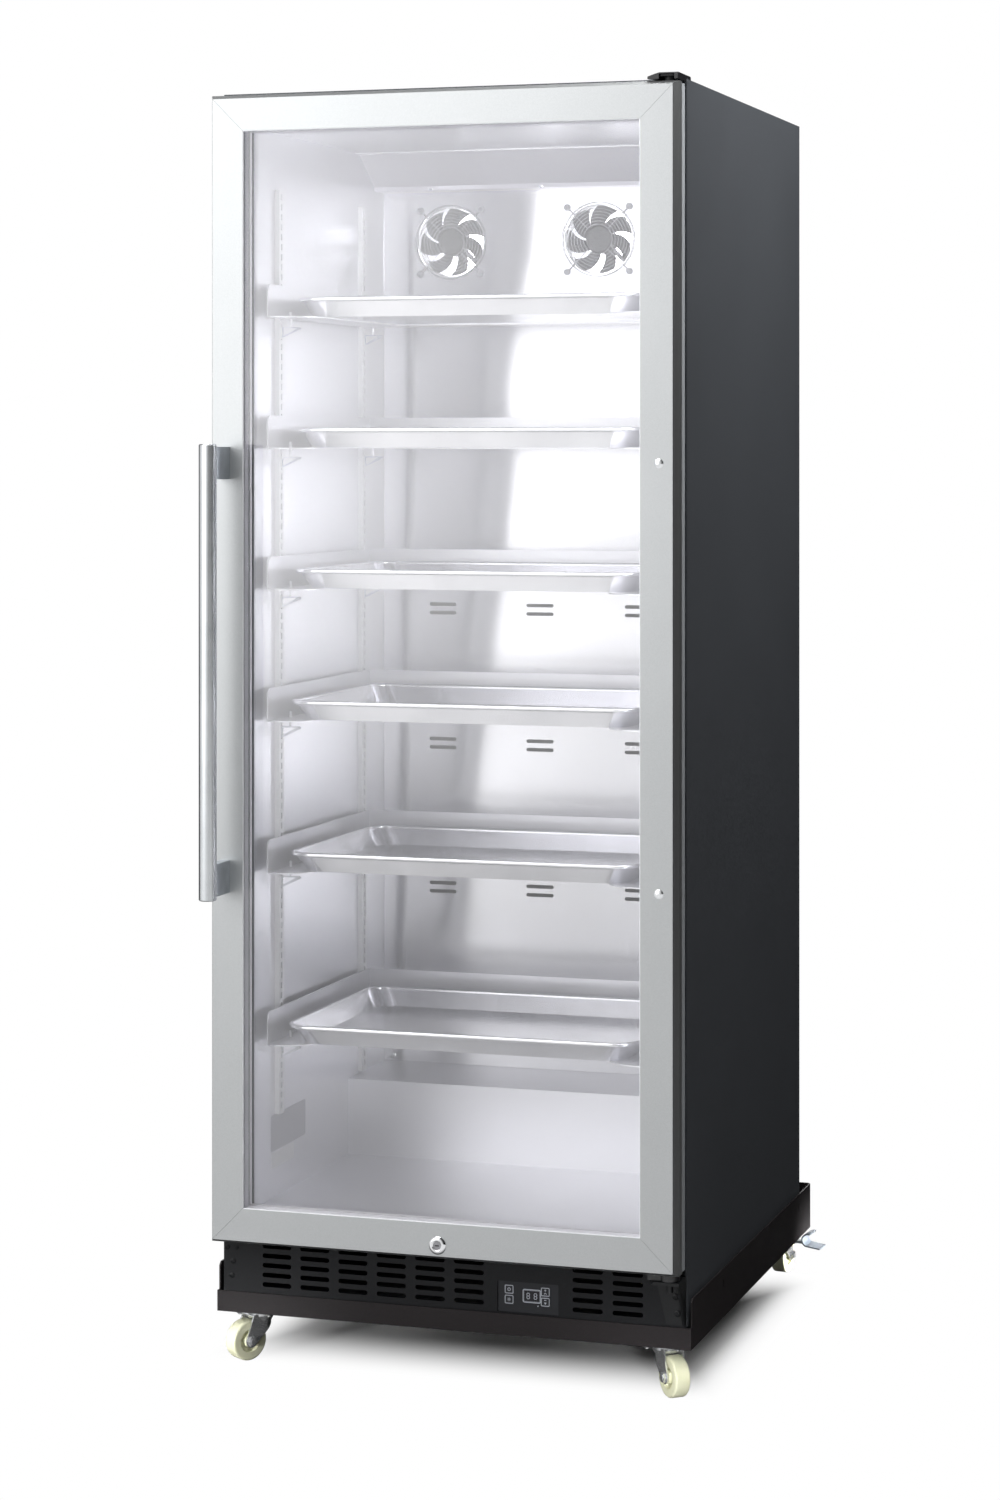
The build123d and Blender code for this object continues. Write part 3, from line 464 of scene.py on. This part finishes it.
mouldedLooks = {
    "spacer": {"dark": (0.80, 0.79, 0.84), "light": (0.88, 0.87, 0.92), "rough": 0.42},
    "gasket": {"dark": (0.50, 0.50, 0.52), "light": (0.60, 0.60, 0.62), "rough": 0.6},
    "blackCap": {"dark": (0.010, 0.010, 0.011), "light": (0.02, 0.02, 0.022), "rough": 0.26},
    "fanPlastic": {"dark": (0.11, 0.112, 0.122), "light": (0.16, 0.162, 0.172), "rough": 0.42},
    "housingPlastic": {"dark": (0.52, 0.52, 0.54), "light": (0.62, 0.62, 0.64), "rough": 0.5},
    "keyPlastic": {
        "dark": (0.018, 0.019, 0.022), "light": (0.026, 0.027, 0.031), "rough": 0.33, "shine": 0.25,
    },
    "panelPlastic": {
        "dark": (0.014, 0.015, 0.018), "light": (0.021, 0.022, 0.026), "rough": 0.30, "shine": 0.22,
    },
    "printGrey": {"dark": (0.40, 0.42, 0.47), "light": (0.48, 0.50, 0.55), "rough": 0.5},
    "nylon": {"dark": (0.80, 0.80, 0.52), "light": (0.87, 0.87, 0.68), "rough": 0.34, "mottle": 30.0},
    "foam": {
        "dark": (0.62, 0.54, 0.30), "light": (0.74, 0.66, 0.42), "rough": 0.85,
        "grain": 500.0, "height": 0.001,
    },
    "labelGrey": {"dark": (0.52, 0.52, 0.56), "light": (0.60, 0.60, 0.64), "rough": 0.35},
    "labelWhite": {"dark": (0.90, 0.90, 0.92), "light": (0.96, 0.96, 0.97), "rough": 0.4},
    "beadWhite": {"dark": (0.80, 0.81, 0.84), "light": (0.88, 0.89, 0.92), "rough": 0.3},
}
lampLook = {"colour": (0.95, 0.97, 1.0), "strength": 2.2, "rough": 0.5, "ribShade": 0.94}

finishes = {"doorFrame": doorFrame("doorFrame"), "pane": clearPane("pane"), "lamp": glowing("lamp", lampLook)}
for make, looks in ((steel, steelLooks), (paint, paintLooks), (moulded, mouldedLooks)):
    for name, look in looks.items():
        finishes[name] = make(name, look)

dressing = {
    "cabinet_shell": "charcoalSide", "inner_liner": "liner", "insulation_foam": "foam",
    "rear_cover": "grilleBlack", "duct_panel": "ductSheet", "ceiling_baffle": "baffleSheetPaintedBright",
    "evaporator_coil": "coilMetal", "fan_guards": "guardWire", "fan_housings": "housingPlastic",
    "compressor": "compressorPaint", "condenser": "coilMetal", "grille_panel": "grilleBlack",
    "control_panel": "panelPlastic", "light_strip": "lamp", "top_hinge_cover": "blackCap",
    "hinge_brackets": "blackSteel", "door_stiles": "doorFrame", "door_rails": "doorFrame",
    "hinge_shoe": "blackCap", "glass_panes": "pane", "glazing_spacer": "spacer", "door_gasket": "gasket",
    "handle_bar": "handleSteel", "handle_brackets": "bracketSteel", "hole_plugs": "zinc",
    "lock_body": "chrome", "lock_plug": "plugSteelPaintedShade", "dolly_tray": "dollyBrown",
    "shelf_standards": "standardSteelPaintedBright", "shelf_clips": "zinc", "caster_plates": "forkZinc",
}
repeatedPieces = {
    "fan_rotor": "fanPlastic", "condenser_fan": "fanPlastic", "pan_rack": "rackSteel",
    "sheet_pan": "panAluminium", "caster_fork": "forkZinc", "caster_wheel": "nylon",
    "brake_lever": "pedalGrey", "_button": "keyPlastic",
}


def choiceFor(node):
    if node in dressing:
        return dressing[node]
    return next(choice for word, choice in repeatedPieces.items() if word in node)


for node, piece in nodes.items():
    slots = piece.data.materials
    if len(slots) == 0:
        slots.append(None)
    for number in range(len(slots)):
        slots[number] = finishes[choiceFor(node)]
print("finishes on the CAD nodes")


# Pieces that are too small or too thin for the CAD; their sizes are in millimetres

def fromDoor(x, depth, z):
    # a place in millimetres, with its depth counted from the front face of the door
    return Vector((x * mm, doorFront + depth * mm, z * mm))


def roundedPlane(name, width, height, corner):
    # a flat face with round corners, left in edit mode and selected
    face = start(name, "plane", size=1)
    bpy.ops.object.mode_set(mode="EDIT")
    bpy.ops.transform.resize(value=(width * mm, height * mm, 1))
    bpy.ops.mesh.bevel(offset=corner * mm, segments=4, affect="VERTICES")
    bpy.ops.mesh.select_all(action="SELECT")
    return face


def thicken(thick):
    # gives the selected faces their thickness and leaves edit mode
    bpy.ops.mesh.extrude_region_move(TRANSFORM_OT_translate={"value": (0, 0, thick * mm)})
    bpy.ops.mesh.select_all(action="SELECT")
    bpy.ops.mesh.normals_make_consistent(inside=False)
    bpy.ops.object.mode_set(mode="OBJECT")


def sheetPiece(name, width, height, corner, thick):
    # a thin plate with round corners, lying flat with its back at zero
    plate = roundedPlane(name, width, height, corner)
    thicken(thick)
    return plate


def printedFrame(name, width, height, corner, line, thick):
    # a thin raised outline with round corners
    ring = roundedPlane(name, width, height, corner)
    bpy.ops.mesh.inset(thickness=line * mm)
    bpy.ops.mesh.delete(type="FACE")
    bpy.ops.mesh.select_all(action="SELECT")
    thicken(thick)
    return ring


def panScrew(name, radius, rise):
    # domed head with a cross recess; its proportions are shares of the radius and the rise
    shape = {"collar": 0.5, "shoulder": 0.36, "crown": 0.14, "step": 0.3, "slotLong": 1.1, "slotWide": 0.24,
             "slotDeep": 0.9}
    collar = rise * shape["collar"]
    head = start(name, "cylinder", vertices=28, radius=radius, depth=collar, location=(0, 0, collar / 2))
    pickTop(head)
    for climb in (shape["shoulder"], shape["crown"]):
        bpy.ops.mesh.inset(thickness=radius * shape["step"])
        bpy.ops.transform.translate(value=(0, 0, rise * climb))
    bpy.ops.object.mode_set(mode="OBJECT")
    for turn in (0, 90):
        recess = start("recess", "cube", size=1, location=(0, 0, rise))
        recess.scale = (radius * shape["slotLong"], radius * shape["slotWide"], rise * shape["slotDeep"])
        recess.rotation_euler[2] = math.radians(turn)
        carve(head, recess)
    return head


def hexBolt(name, width, rise):
    # washer, nut with rounded corners, and the end of the bolt; shares of the nut's width and rise
    shape = {"corner": 0.577, "rounding": 0.05, "washer": 0.68, "washerRise": 0.2, "washerRounding": 0.05,
             "stem": 0.28, "stemLength": 0.5, "stemMiddle": 1.15, "tipInset": 0.06, "tipRise": 0.05}
    nut = start(name, "cylinder", vertices=6, radius=width * shape["corner"], depth=rise,
                location=(0, 0, rise / 2))
    roundOff(nut, width * shape["rounding"])
    washerRise = rise * shape["washerRise"]
    washer = start("washer", "cylinder", vertices=28, radius=width * shape["washer"], depth=washerRise,
                   location=(0, 0, washerRise / 2))
    roundOff(washer, rise * shape["washerRounding"], segments=1)
    stem = start("stem", "cylinder", vertices=20, radius=width * shape["stem"],
                 depth=rise * shape["stemLength"], location=(0, 0, rise * shape["stemMiddle"]))
    pickTop(stem)
    bpy.ops.mesh.inset(thickness=width * shape["tipInset"])
    bpy.ops.transform.translate(value=(0, 0, width * shape["tipRise"]))
    bpy.ops.object.mode_set(mode="OBJECT")
    return join(nut, [washer, stem])


def screws():
    look = {"radius": 4.2, "rise": 2.4, "turnStep": 0.7, "coverSheet": 1.5}
    grille, hingeLeg, duct, baffle = 45.6, 42.6, 528, 490.2         # depths of the sheets behind the heads
    places = [
        ("grilleScrew", (-294, grille, 145), "grilleBlack", "black_paint", 0.85),
        ("grilleScrew", (-281, grille, 145), "grilleBlack", "black_paint", 0.6),
        ("grilleScrew", (-286, grille, 128), "blackSteel", "black_paint", 0.85),
        ("grilleScrew", (-287.5, grille, 110), "blackSteel", "black_paint", 0.85),
        ("hingeScrew", (288, hingeLeg, 128), "blackSteel", "black_paint", 1.0),
        ("hingeScrew", (290, hingeLeg, 108), "blackSteel", "black_paint", 1.0),
        ("ductScrew", (-244.6, duct, 304.6), "zinc", "zinc_steel", 1.1),
        ("ductScrew", (244.6, duct, 304.6), "zinc", "zinc_steel", 1.1),
        ("baffleScrew", (-176, baffle, 1503.5), "zinc", "zinc_steel", 0.8),
        ("baffleScrew", (-18, baffle, 1503.5), "zinc", "zinc_steel", 0.8),
        ("baffleScrew", (140, baffle, 1503.5), "zinc", "zinc_steel", 0.8),
    ]
    rearPlaces = ((-262, 84), (0, 84), (262, 84), (-262, 240), (0, 240), (262, 240))
    pattern = panScrew("screwPattern", look["radius"] * mm, look["rise"] * mm)
    for number, (kind, place, finish, slot, size) in enumerate(places):
        piece = copyTo(pattern, f"{kind}{number}", fromDoor(*place), toFront, number * look["turnStep"])
        piece.scale = (size, size, size)
        settle(piece, "cabinet", finishes[finish])
    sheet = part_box("rear_cover")[0].y + look["coverSheet"] * mm
    for number, (x, z) in enumerate(rearPlaces):
        piece = copyTo(pattern, f"rearScrew{number}", (x * mm, sheet, z * mm), toRear, number)
        settle(piece, "cabinet", finishes["zinc"])
    bpy.data.objects.remove(pattern)


def casterBolts():
    # four bolts on each caster plate; inset is from the plates' outer edges to the middle of a plate
    look = {"width": 9, "rise": 4.2, "spread": 19.5, "inset": 26, "level": 60.5, "turnStep": 0.4,
            "smoothAngle": 30}
    pattern = hexBolt("boltPattern", look["width"] * mm, look["rise"] * mm)
    inset, spread = look["inset"] * mm, look["spread"] * mm
    low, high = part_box("caster_plates")
    for name in ("front_left", "front_right", "rear_left", "rear_right"):
        middleX = low.x + inset if "left" in name else high.x - inset
        middleY = low.y + inset if "front" in name else high.y - inset
        for corner in range(4):
            x = middleX + (spread if corner % 2 else -spread)
            y = middleY + (spread if corner > 1 else -spread)
            place = (x, y, look["level"] * mm)
            piece = copyTo(pattern, f"plateBolt_{name}{corner}", place, downwards, corner * look["turnStep"])
            settle(piece, "cabinet", finishes["zinc"], look["smoothAngle"])
    bpy.data.objects.remove(pattern)


def bar(width, height, thick, x=0.0, y=0.0, turn=0.0):
    # one stroke of a printed sign, with blunt ends
    bluntness = 0.3
    stroke = sheetPiece("stroke", width, height, min(width, height) * bluntness, thick)
    tilt = Matrix.Rotation(math.radians(turn), 4, "Z")
    stroke.matrix_world = Matrix.Translation((x * mm, y * mm, 0)) @ tilt
    return stroke


def digitEight(x, thick):
    # the seven strokes of a display digit, all lit
    look = {"wide": 3.0, "tall": 3.4, "line": 0.85, "sideLength": 0.78, "sideOffset": 0.56}
    strokes = [bar(look["wide"], look["line"], thick, x, level * look["tall"]) for level in (-1, 0, 1)]
    for side in (-1, 1):
        for level in (-0.5, 0.5):
            across = x + side * look["wide"] * look["sideOffset"]
            height = look["tall"] * look["sideLength"]
            strokes.append(bar(look["line"], height, thick, across, level * look["tall"]))
    return strokes


def ringSign(thick):
    look = {"size": 4.2, "corner": 2.0, "line": 0.8}
    return [printedFrame("mark", look["size"], look["size"], look["corner"], look["line"], thick)]


def starSign(thick):
    # a dot with rays
    look = {"dot": 2.6, "corner": 1.2, "ray": 4.6, "line": 0.6}
    marks = [sheetPiece("mark", look["dot"], look["dot"], look["corner"], thick)]
    return marks + [bar(look["ray"], look["line"], thick, turn=turn) for turn in (0, 45, 90, 135)]


def plusUpSign(thick):
    # a plus, and below it an arrowhead that points up
    look = {"long": 2.6, "line": 0.8, "plusLevel": 1.9,
            "arrowLong": 2.4, "arrowSide": 0.8, "arrowLevel": -1.9, "arrowTurn": 50}
    marks = [bar(look["long"], look["line"], thick, 0, look["plusLevel"]),
             bar(look["line"], look["long"], thick, 0, look["plusLevel"])]
    for side in (-1, 1):
        marks.append(bar(look["arrowLong"], look["line"], thick, side * look["arrowSide"], look["arrowLevel"],
                         -side * look["arrowTurn"]))
    return marks


def minusDownSign(thick):
    # a minus, and below it a triangle that points down
    look = {"long": 2.8, "line": 0.8, "minusLevel": 2.2,
            "triangle": 1.9, "rounding": 0.3, "triangleLevel": -1.4}
    minus = bar(look["long"], look["line"], thick, 0, look["minusLevel"])
    middle = thick * mm / 2
    triangle = start("mark", "cylinder", vertices=3, radius=look["triangle"] * mm, depth=thick * mm,
                     location=(0, 0, middle))
    roundOff(triangle, look["rounding"] * mm)
    place = (0, look["triangleLevel"] * mm, middle)
    triangle.matrix_world = Matrix.Translation(place) @ Matrix.Rotation(math.pi, 4, "Z")
    return [minus, triangle]


def controlSigns():
    # places of the keys and the display count from the point x, z; the dot has its own place
    look = {"x": 100.8, "z": 110.8, "keyDepth": 47.3, "panelDepth": 47.55, "thick": 0.12,
            "keyWidth": 11.0, "keyHeight": 10.4, "keyCorner": 1.6, "keyLine": 0.9,
            "displayX": 4.6, "displayZ": 2.4, "digitX": 4.6,
            "dot": 1.6, "dotCorner": 0.75, "dotPlace": (113.3, 101.6)}
    keys = {"power": (-24.4, 8.9, ringSign), "light": (-24.4, -3.4, starSign),
            "up": (21.8, 8.8, plusUpSign), "down": (21.8, -3.5, minusDownSign)}
    thick = look["thick"]
    for name, (x, z, sign) in keys.items():
        outline = printedFrame(f"{name}KeySign", look["keyWidth"], look["keyHeight"], look["keyCorner"],
                               look["keyLine"], thick)
        piece = join(outline, sign(thick))
        piece.matrix_world = upright(fromDoor(look["x"] + x, look["keyDepth"], look["z"] + z))
        settle(piece, f"{name}_key", finishes["printGrey"])
    display = printedFrame("displaySign", width=23.4, height=16.6, corner=2.4, line=1.0, thick=thick)
    inner = printedFrame("inner", width=20.6, height=13.8, corner=1.2, line=0.35, thick=thick)
    display = join(display, [inner] + digitEight(-look["digitX"], thick) + digitEight(look["digitX"], thick))
    place = fromDoor(look["x"] + look["displayX"], look["panelDepth"], look["z"] + look["displayZ"])
    display.matrix_world = upright(place)
    settle(display, "cabinet", finishes["printGrey"])
    dot = sheetPiece("statusDot", look["dot"], look["dot"], look["dotCorner"], thick)
    x, z = look["dotPlace"]
    dot.matrix_world = upright(fromDoor(x, look["panelDepth"], z))
    settle(dot, "cabinet", finishes["printGrey"])


def glassTrim():
    # thin bright bead where the glass meets the frame
    look = {"width": 512.8, "low": 203.6, "high": 1541.9, "corner": 0.8, "line": 2.3,
            "front": 0.5, "back": 4.1, "rounding": 0.3}
    bead = printedFrame("glassBead", look["width"], look["high"] - look["low"], look["corner"], look["line"],
                        look["back"] - look["front"])
    roundOff(bead, look["rounding"] * mm)
    bead.matrix_world = upright(fromDoor(0, look["back"], (look["high"] + look["low"]) / 2))
    settle(bead, "door", finishes["beadWhite"])


def blankLabels():
    # two bare stickers on the left wall; each has its front and rear depth, and its lower and upper level
    look = {"plate": (103, 224, 254, 300), "slip": (103.5, 183, 232, 252),
            "wall": -258, "corner": 2.2, "thick": 0.25}
    offWall = Matrix(((0, 0, 1, 0), (1, 0, 0, 0), (0, 1, 0, 0), (0, 0, 0, 1)))      # face towards +X
    for name, finish in (("plate", "labelGrey"), ("slip", "labelWhite")):
        front, rear, low, high = look[name]
        sticker = sheetPiece(f"{name}Label", rear - front, high - low, look["corner"], look["thick"])
        place = fromDoor(look["wall"], (front + rear) / 2, (low + high) / 2)
        sticker.matrix_world = Matrix.Translation(place) @ offWall
        settle(sticker, "cabinet", finishes[finish])


screws()
casterBolts()
glassTrim()
print("screws and bolts")
controlSigns()
blankLabels()
print("signs and labels")


# Stage, light and camera; their sizes are in metres

def blendOut(finish, share):
    # mixes the shader with plain white
    plain = finish.tree.nodes.new("ShaderNodeEmission")
    plain.inputs["Color"].default_value = (1, 1, 1, 1)
    mixed = finish.tree.nodes.new("ShaderNodeMixShader")
    finish.feed(mixed.inputs[0], share)
    finish.tree.links.new(finish.shader.outputs[0], mixed.inputs[1])
    finish.tree.links.new(plain.outputs[0], mixed.inputs[2])
    finish.tree.links.new(mixed.outputs[0], finish.tree.nodes["Material Output"].inputs["Surface"])


def shapeOfFloor():
    # white floor: keeps the shadow under the dolly, and is plain white to the camera beyond its edges;
    # to all other rays it is bright only in front and on the left
    look = {"size": 24, "level": -0.0005, "rough": 0.9, "seen": (0.9, 0.9, 0.9), "front": (0.95, 0.95, 0.95),
            "back": (0.05, 0.05, 0.05), "fadeX": (-0.06, 0.03), "fadeY": (-0.20, -0.01),
            "frontFrom": (-0.30, -0.75), "leftFrom": (0.9, 0.3)}
    floor = start("floor", "plane", size=look["size"], location=(0, 0, look["level"]))
    white = Finish("floorWhite", {"Roughness": look["rough"], "Specular IOR Level": 0.0})
    low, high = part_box("dolly_tray")
    middle, half = (low + high) / 2, (high - low) / 2
    away = white.vectors("SUBTRACT", {0: white.place(), 1: (middle.x, middle.y, 0)})
    away = white.vectors("ABSOLUTE", {0: away})
    away = white.vectors("SUBTRACT", {0: away, 1: (half.x, half.y, 0)})
    edges = {number: white.smooth(white.part(away, letter), look["fade" + letter])
             for number, letter in enumerate(("X", "Y"))}
    beyond = white.node("ShaderNodeMath", {"operation": "MAXIMUM"}, edges)
    seen = white.rays("Is Camera Ray")
    mirrored = white.rays("Is Glossy Ray")
    front = white.smooth(white.axis("Y"), look["frontFrom"])
    left = white.smooth(white.axis("X"), look["leftFrom"])
    unseen = white.blend(front * left, look["back"], look["front"])
    white.shade({"Base Color": white.blend(seen, unseen, look["seen"])})
    blendOut(white, beyond * seen + front * mirrored)
    floor.data.materials.append(white.material)


def surroundings():
    # white to the camera; brighter in front and on the left than behind and on the right
    look = {"brightest": (-0.66, -0.75, 0), "turnFrom": (0.2, 0.8), "riseFrom": (0.0, 0.5),
            "frontGloss": 1.0, "frontFill": 0.85, "backLow": 0.0, "backHigh": 0.07}
    world = bpy.data.worlds.new("studio")
    bpy.context.scene.world = world
    world.use_nodes = True
    sky = Wiring(world.node_tree)
    background = sky.tree.nodes["Background"]
    sky.feed(background.inputs["Color"], (1, 1, 1, 1))
    direction = sky.node("ShaderNodeTexCoord", output="Generated")
    facing = sky.vectors("DOT_PRODUCT", {0: direction, 1: look["brightest"]}, "Value")
    front = sky.smooth(facing, look["turnFrom"])
    high = sky.smooth(sky.part(direction, "Z"), look["riseFrom"])
    back = look["backLow"] + high * (look["backHigh"] - look["backLow"])
    gloss = back * (1 - front) + front * look["frontGloss"]
    fill = back * (1 - front) + front * look["frontFill"]
    isGloss = sky.rays("Is Glossy Ray")
    isSeen = sky.rays("Is Camera Ray")
    lit = gloss * isGloss + fill * (1 - isGloss)
    sky.feed(background.inputs["Strength"], isSeen + lit * (1 - isSeen))


def softbox():
    # a large soft light in front on the left, brightest at its top left, where the glass mirrors it
    look = {"x": -1.5, "ahead": 2.5, "z": 1.6, "size": 3.2, "top": 3.1, "low": 0.78, "right": 0.10,
            "heightFrom": (0.1, 1.0), "sideFrom": (0.1, -1.4)}
    box = start("softbox", "plane", size=1)
    place = (look["x"], doorFront - look["ahead"], look["z"])
    box.matrix_world = upright(place) @ Matrix.Diagonal((look["size"], look["size"], 1, 1))
    pick(box)
    bpy.ops.object.transform_apply(location=True, rotation=True, scale=True)
    box.visible_camera = False
    unlit = {"Base Color": (0, 0, 0, 1), "Specular IOR Level": 0.0, "Emission Strength": 1.0}
    glow = Finish("softboxGlow", unlit)
    height = glow.smooth(glow.axis("Z"), look["heightFrom"])
    side = glow.smooth(glow.axis("X"), look["sideFrom"], look["right"])
    glow.shade({"Emission Color": height * side * (look["top"] - look["low"]) + look["low"]})
    box.data.materials.append(glow.material)


def lampAt(name, place, aim, size, energy, spread=None):
    data = bpy.data.lights.new(name, "AREA")
    data.shape = "RECTANGLE"
    data.size, data.size_y = size
    data.energy = energy
    if spread is not None:
        data.spread = math.radians(spread)
    lamp = bpy.data.objects.new(name, data)
    bpy.context.scene.collection.objects.link(lamp)
    lamp.location = place
    lamp.rotation_euler = (Vector(aim) - Vector(place)).to_track_quat("-Z", "Y").to_euler()
    lamp.visible_camera = False
    return lamp


def roomLamps():
    look = {
        "key": {"place": (-0.6, -1.2, 3.0), "aim": (0, -0.3, 0.7), "size": (2.0, 2.0), "energy": 50},
        "sideTop": {"place": (0.78, 0.05, 2.4), "aim": (0.7, 0.05, 0.0), "size": (0.25, 1.1), "energy": 40},
        "rearFill": {"place": (-1.2, 3.2, 1.9), "aim": (0, 0.3, 0.8), "size": (2.0, 2.0), "energy": 60},
    }
    for name, values in look.items():
        lampAt(name, **values)


def insideLamps():
    # one short tube beside each gap between the pans, behind the hinge-side stile
    # energies are for each metre of tube, from the bottom up
    look = {"x": 0.236, "behindDoor": 0.066, "width": 0.06, "margin": 0.05, "beam": (-0.49, 0.46, 0),
            "spread": 130, "energies": (1.0, 1.1, 1.5, 1.9, 2.4, 3.0, 3.9)}
    panCount = 6
    low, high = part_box("light_strip")
    pans = [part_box(f"sheet_pan_{number}") for number in range(1, panCount + 1)]
    levels = sorted((panLow.z, panHigh.z) for panLow, panHigh in pans)
    bottoms = [low.z] + [top for bottom, top in levels]
    tops = [bottom for bottom, top in levels] + [high.z]
    forward = Vector(look["beam"]).normalized()
    upward = Vector((0, 0, 1))
    for number, (bottom, top) in enumerate(zip(bottoms, tops)):
        length = top - bottom - look["margin"]
        place = (look["x"], doorFront + look["behindDoor"], (bottom + top) / 2)
        tube = lampAt(f"inside{number}", place, (0, 0, 0), (look["width"], length),
                      look["energies"][number] * length, look["spread"])
        tube.matrix_world = Matrix((
            (*forward.cross(upward), 0), (*upward, 0), (*(-forward), 0), (*tube.location, 1),
        )).transposed()


def coilLamps():
    # light on the coil, so that it shows between the fan blades
    look = {"behindDuct": 0.036, "aim": 0.2, "size": (0.08, 0.08), "energy": 0.35, "spread": 160}
    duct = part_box("duct_panel")[1].y
    for side in ("left", "right"):
        low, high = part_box(f"fan_rotor_{side}")
        middle = (low + high) / 2
        place = (middle.x, duct + look["behindDuct"], middle.z)
        aim = (middle.x, duct + look["aim"], middle.z)
        lampAt(f"{side}Coil", place, aim, look["size"], look["energy"], look["spread"])


def wheelLamps():
    # narrow, weak beams that give the wheels their bright sides
    look = {
        "rearWheel": {"place": (0.95, 0.62, 0.05), "aim": (0.268, 0.376, 0.0), "energy": 0.27},
        "frontWheelLeft": {"place": (-0.75, -1.45, 0.10), "aim": (-0.27, -0.30, 0.0), "energy": 0.09},
        "frontWheelRight": {"place": (0.75, -1.35, 0.10), "aim": (0.27, -0.30, 0.0), "energy": 0.075},
    }
    for name, values in look.items():
        lampAt(name, size=(0.15, 0.15), spread=10, **values)


def photographer():
    # the camera of the photograph, as it was fitted to the pans and the shelf standards
    look = {"lens": 79.76, "sensor": 36, "shift": -0.2,
            "x": 1.2982, "ahead": 3.8247, "z": 1.1449, "turn": 17.67}
    camera = bpy.data.cameras.new("camera")
    camera.lens = look["lens"]
    camera.sensor_width = look["sensor"]
    camera.shift_y = look["shift"]
    view = bpy.data.objects.new("camera", camera)
    bpy.context.scene.collection.objects.link(view)
    view.location = (look["x"], doorFront - look["ahead"], look["z"])
    view.rotation_euler = (math.radians(90), 0, math.radians(look["turn"]))
    bpy.context.scene.camera = view
    bpy.context.scene.view_settings.view_transform = "Standard"


shapeOfFloor()
surroundings()
softbox()
roomLamps()
insideLamps()
coilLamps()
wheelLamps()
photographer()
print("studio ready")
